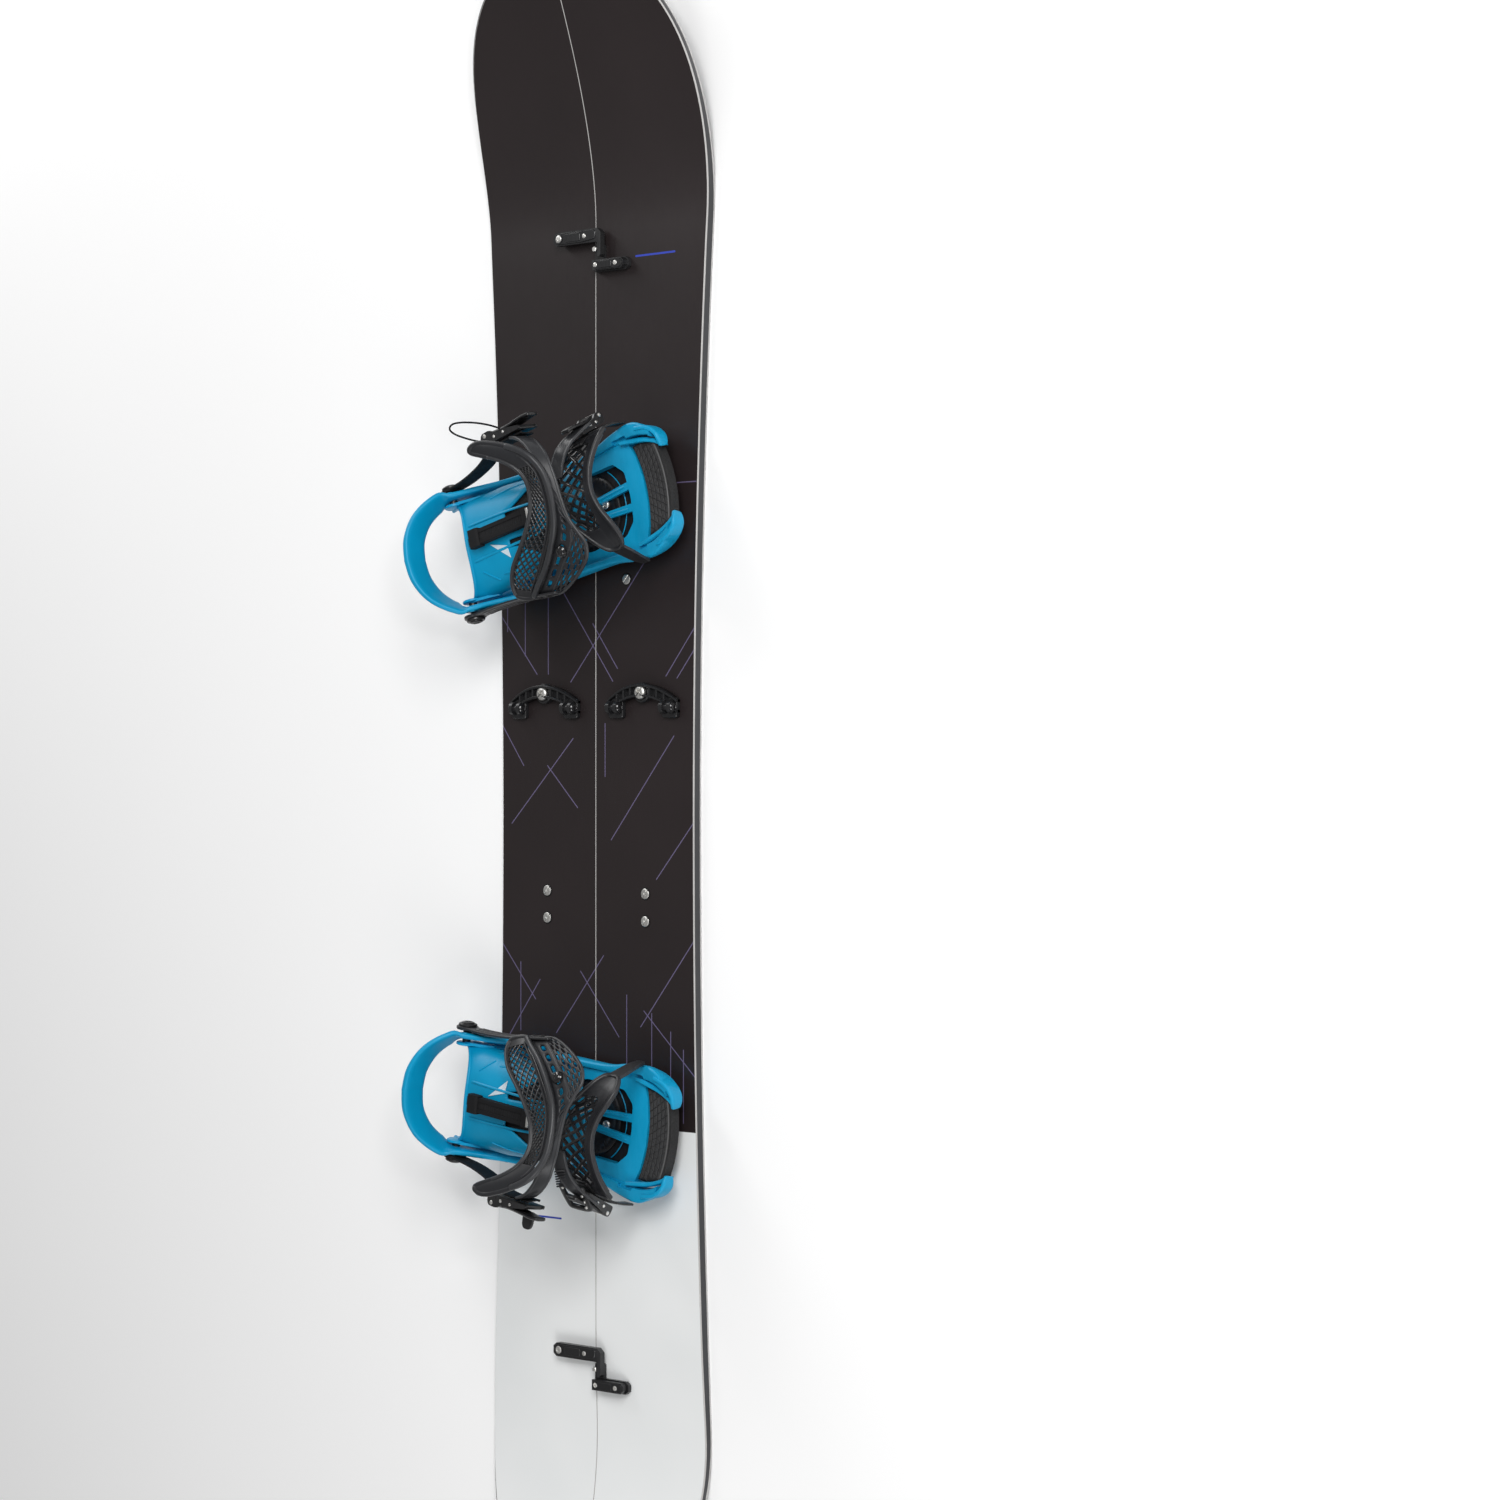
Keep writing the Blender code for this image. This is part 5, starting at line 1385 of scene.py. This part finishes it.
def touring_bracket(half, side):
    """Arched toe bracket with its lugs, cross bolts and centre screw."""
    place = on_board(BRACKET_X, side * HALF_CENTRE_Y, CORE_THICK + GAP)
    reach = 44

    def bow(y):
        return 1 - (y / reach) ** 2

    def arch(low, high, inner, outer):
        """Arched bar across the bracket between two offsets along the board."""
        rings = []
        for y in [-reach + 2 * reach * i / 32 for i in range(33)]:
            x, top = -1 + 15 * bow(y), low + (high - low) * bow(y)
            rings.append([(x + inner, y, 0), (x + inner, y, top - 0.6), (x + inner + 0.6, y, top),
                          (x + outer - 0.6, y, top), (x + outer, y, top - 0.6), (x + outer, y, 0)])
        return loft(rings)

    shapes = [arch(3.4, 4.6, -8, 4), arch(6.0, 10.0, 1.4, 4), arch(6.0, 9.4, -8, -5.6)]
    for y in (-30, -21, -12, 12, 21, 30):
        x = -1 + 15 * bow(y)
        shapes.append(block([(x - 6, y - 0.9), (x + 2, y - 0.9), (x + 2, y + 0.9), (x - 6, y + 0.9)],
                            2.0, 6.4 + 2.4 * bow(y), 0.4))
    shapes.append(turned((10, 0, 0), (0, 0, 1), ((9.6, 0), (9.6, 5.2), (9.0, 6.0), (7.6, 6.0),
                                                 (7.4, 5.0)), 40))
    bolts = []
    for end in (-1, 1):
        foot = rounded([(-14, end * 25), (5, end * 25), (5, end * 43.6), (-14, end * 43.6)], 3.0)
        shapes.append(block(foot, 0, 4.4, 0.8))
        ear = rounded([(-10.6, 0.5), (2.6, 0.5), (2.6, 7.5), (-0.6, 12.0), (-7.4, 12.0),
                       (-10.6, 7.5)], 2.2)
        for y in (27.2, 37.0):
            shapes.append(across(ear, end * y, end * (y + 4.0)))
        shapes.append(turned((-4, end * 27, 6.6), (0, end, 0), ((3.4, 1), (3.4, 13)), 24))
        web = rounded([(-13, 0.5), (-9, 0.5), (-9, 5.5), (-13, 3.5)], 0.8)
        shapes.append(across(web, end * 26, end * 43))
        for face, way in ((27.2, -1), (41.0, 1)):
            spot, out = Vector((-4, end * face, 6.6)), Vector((0, end * way, 0))
            bolts.append(turned(spot, out, ((4.8, 0), (4.8, 1.0), (4.2, 1.7), (3.0, 1.7)), 32))
            bolts.append(screw_head(spot + out * 1.5, out, 3.4, 1.0, "hex"))
    piece(f"{half}_bracket_casting", place(merge(*shapes)), BLACK, "board", bevel=0.0002, angle=32,
          replaces=(f"{half}_touring_bracket",), slot="black_alloy")
    piece(f"{half}_bracket_bolts", place(merge(*bolts)), GLOSS, "board", angle=32,
          slot="black_steel")
    head = screw_head((10, 0, 6.1), (0, 0, 1), 6.4, 3.8, "cross", 40)
    piece(f"{half}_bracket_screw_head", place(head), SILVER, "board", angle=32,
          replaces=(f"{half}_touring_bracket_screw",), slot="screw_steel")


def plug_screw(name, node):
    """Slotted screw in a shallow cup."""
    low, high = (Vector(p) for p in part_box(node))
    place = on_board((low.x + high.x) / 2, (low.y + high.y) / 2, CORE_THICK)
    cup = turned((0, 0, 0), (0, 0, 1), ((5.9, 0.05), (5.9, 0.45), (5.5, 0.7), (4.9, 0.7)), 40)
    head = screw_head((0, 0, 0.3), (0, 0, 1), 4.9, 1.2, "slot", 40)
    piece(name + "_cup", place(cup), DARK, "board", angle=32, replaces=(node,), slot="screw_steel")
    piece(name + "_head", place(head), SILVER, "board", angle=32, slot="screw_steel")


def centre_clip(prefix, cx):
    """Covers, pins and screws over the keeper and the turning hook."""
    place = on_board(cx, 0, CORE_THICK + GAP)
    cover = rounded([(-18.4, -7), (-18.4, -40), (-15.6, -43), (-12.4, -43), (-9.6, -40), (-9.6, -7)],
                    2.6)
    pad = rounded([(-17.4, -12), (-17.4, -30), (-10.6, -30), (-10.6, -12)], 1.6)
    shapes = [block(cover, 9.2, 10.4, 0.7), block(pad, 10.2, 11.0, 0.4)]
    piece(prefix + "_keeper_cover", place(merge(*shapes)), BLACK, "board", bevel=0.0002, angle=32,
          slot="black_alloy")
    heads = [screw_head((-14, y, 10.3), (0, 0, 1), 2.3, 0.8, "hex") for y in (-9, -34.6)]
    pin = turned((1, -8, 3.6), (0, 0, 1), ((2.5, 0), (2.5, 7.0), (2.0, 7.6)), 28)
    piece(prefix + "_keeper_screws", place(merge(*heads, pin)), SILVER, "board", angle=32,
          slot="screw_steel")
    bar = rounded([(9.2, 41.5), (9.2, 8), (11, -8.5), (18, -9.5), (19.8, -7), (19.8, 41.5),
                   (17.4, 44.6), (11.6, 44.6)], 2.6)
    rib = rounded([(10.6, 30), (10.6, 10), (18.4, 10), (18.4, 30)], 1.6)
    shapes = [block(bar, 9.7, 11.0, 0.7), block(rib, 10.8, 11.6, 0.4)]
    piece(prefix + "_hook_cover", place(merge(*shapes)), BLACK, prefix + "_clip_hook",
          bevel=0.0002, angle=32, slot="black_alloy")
    heads = [screw_head((14.5, 38, 11.2), (0, 0, 1), 3.6, 1.0, "hex"),
             screw_head((14.5, 5, 10.8), (0, 0, 1), 2.2, 0.8, "plain")]
    piece(prefix + "_hook_screws", place(merge(*heads)), SILVER, prefix + "_clip_hook", angle=32,
          slot="screw_steel")


for half, side in (("heel", 1), ("toe", -1)):
    touring_bracket(half, side)
for half, count in (("heel", 2), ("toe", 3)):
    for number in range(1, count + 1):
        plug_screw(f"{half}_plug_{number}", f"{half}_plug_screw_{number}")
centre_clip("nose", NOSE_CLIP_X)
centre_clip("tail", TAIL_CLIP_X)


# ---------------------------------------------------------------- release wire
def release_wire():
    """Stiff coated wire loop standing out of the front ankle ratchet."""
    base, toe, outer = binding_frame("front")
    loop = spline(((15, 76, 123.6), (7, 81.5, 126.5), (-5, 87.5, 132), (-17, 91.5, 138),
                   (-26, 92.5, 141.5), (-30.5, 89, 142), (-27, 83, 139.5), (-19, 76.5, 132.5),
                   (-12, 72, 124.5), (-9.5, 71, 121.2)), 90)
    path = [base + toe * u * MM + outer * v * MM + Vector((0, 0, z * MM)) for u, v, z in loop]
    length = sum((b - a).length for a, b in zip(path, path[1:]))
    hint = (toe * 0.3 + outer + Vector((0, 0, 0.2))).normalized()
    outs = []
    for i, here in enumerate(path):
        flow = (path[min(i + 1, 89)] - path[max(i - 1, 0)]).normalized()
        outs.append(flow.cross(hint).normalized())
    wire = piece("release_wire_loop", sweep(path, outs, WIRE_RADIUS, WIRE_RADIUS, 1.0, 12, cap=False),
                 DARK, "front_ankle_body", angle=60, replaces=("front_release_wire",),
                 slot="coated_cable")
    tuple(path[0])
    [tuple(p) for p in path]


release_wire()


# ---------------------------------------------------------------- CAD nodes shown as they are
def dress(names, mat, bevel):
    for name in names:
        node = NODES[name]
        if node.hide_render:
            continue
        node.data.materials.clear()
        node.data.materials.append(mat)
        for poly in node.data.polygons:
            poly.material_index = 0
            poly.use_smooth = True
        node.data.set_sharp_from_angle(angle=math.radians(35))
        round_edges(node, bevel)


BOTH = ("front", "rear")
dress([f"{w}_track" for w in BOTH], ALLOY, 0.0004)
dress([f"{e}_clip_{n}" for e in ("nose", "tail") for n in ("keeper", "hook")], BLACK, 0.0006)

# ---------------------------------------------------------------- floor and light
floor_mat = Nodes("studio_floor")
paper = floor_mat.noise(3.0, 3.0, 0.5)
floor_mat.plug(floor_mat.shader.inputs["Base Color"], floor_mat.mix(
    paper, (0.965, 0.965, 0.965, 1), (0.98, 0.98, 0.98, 1)))
floor_mat.shader.inputs["Roughness"].default_value = 0.85
floor_mesh = bpy.data.meshes.new("studio_floor")
FLOOR = 9.0
floor_mesh.from_pydata([(-FLOOR, -FLOOR, -0.0004), (FLOOR, -FLOOR, -0.0004),
                        (FLOOR, FLOOR, -0.0004), (-FLOOR, FLOOR, -0.0004)], [], [(0, 1, 2, 3)])
floor_mesh.materials.append(floor_mat.mat)
floor_obj = bpy.data.objects.new("studio_floor", floor_mesh)
bpy.context.scene.collection.objects.link(floor_obj)

world = bpy.data.worlds.new("studio")
bpy.context.scene.world = world
world.use_nodes = True
world.node_tree.nodes["Background"].inputs["Color"].default_value = (1.0, 1.0, 1.0, 1)
world.node_tree.nodes["Background"].inputs["Strength"].default_value = 0.26


def area_light(name, place, aim, width, height, watts):
    data = bpy.data.lights.new(name, "AREA")
    data.shape, data.size, data.size_y, data.energy = "RECTANGLE", width, height, watts
    obj = bpy.data.objects.new(name, data)
    obj.location = place
    obj.rotation_mode = "QUATERNION"
    obj.rotation_quaternion = (Vector(aim) - Vector(place)).to_track_quat("-Z", "Y")
    bpy.context.scene.collection.objects.link(obj)


area_light("key", (1.3, -1.6, 2.2), (0.0, 0.0, 0.0), 1.4, 1.4, 58.0)
area_light("fill", (-1.8, -1.2, 1.6), (-0.1, 0.0, 0.0), 1.2, 1.2, 20.0)
area_light("spark", (0.5, -1.9, 1.7), (0.0, 0.0, 0.05), 0.22, 0.22, 7.0)
area_light("rim", (1.6, 1.5, 0.9), (0.2, 0.0, 0.05), 0.5, 1.6, 16.0)

bpy.context.view_layer.update()
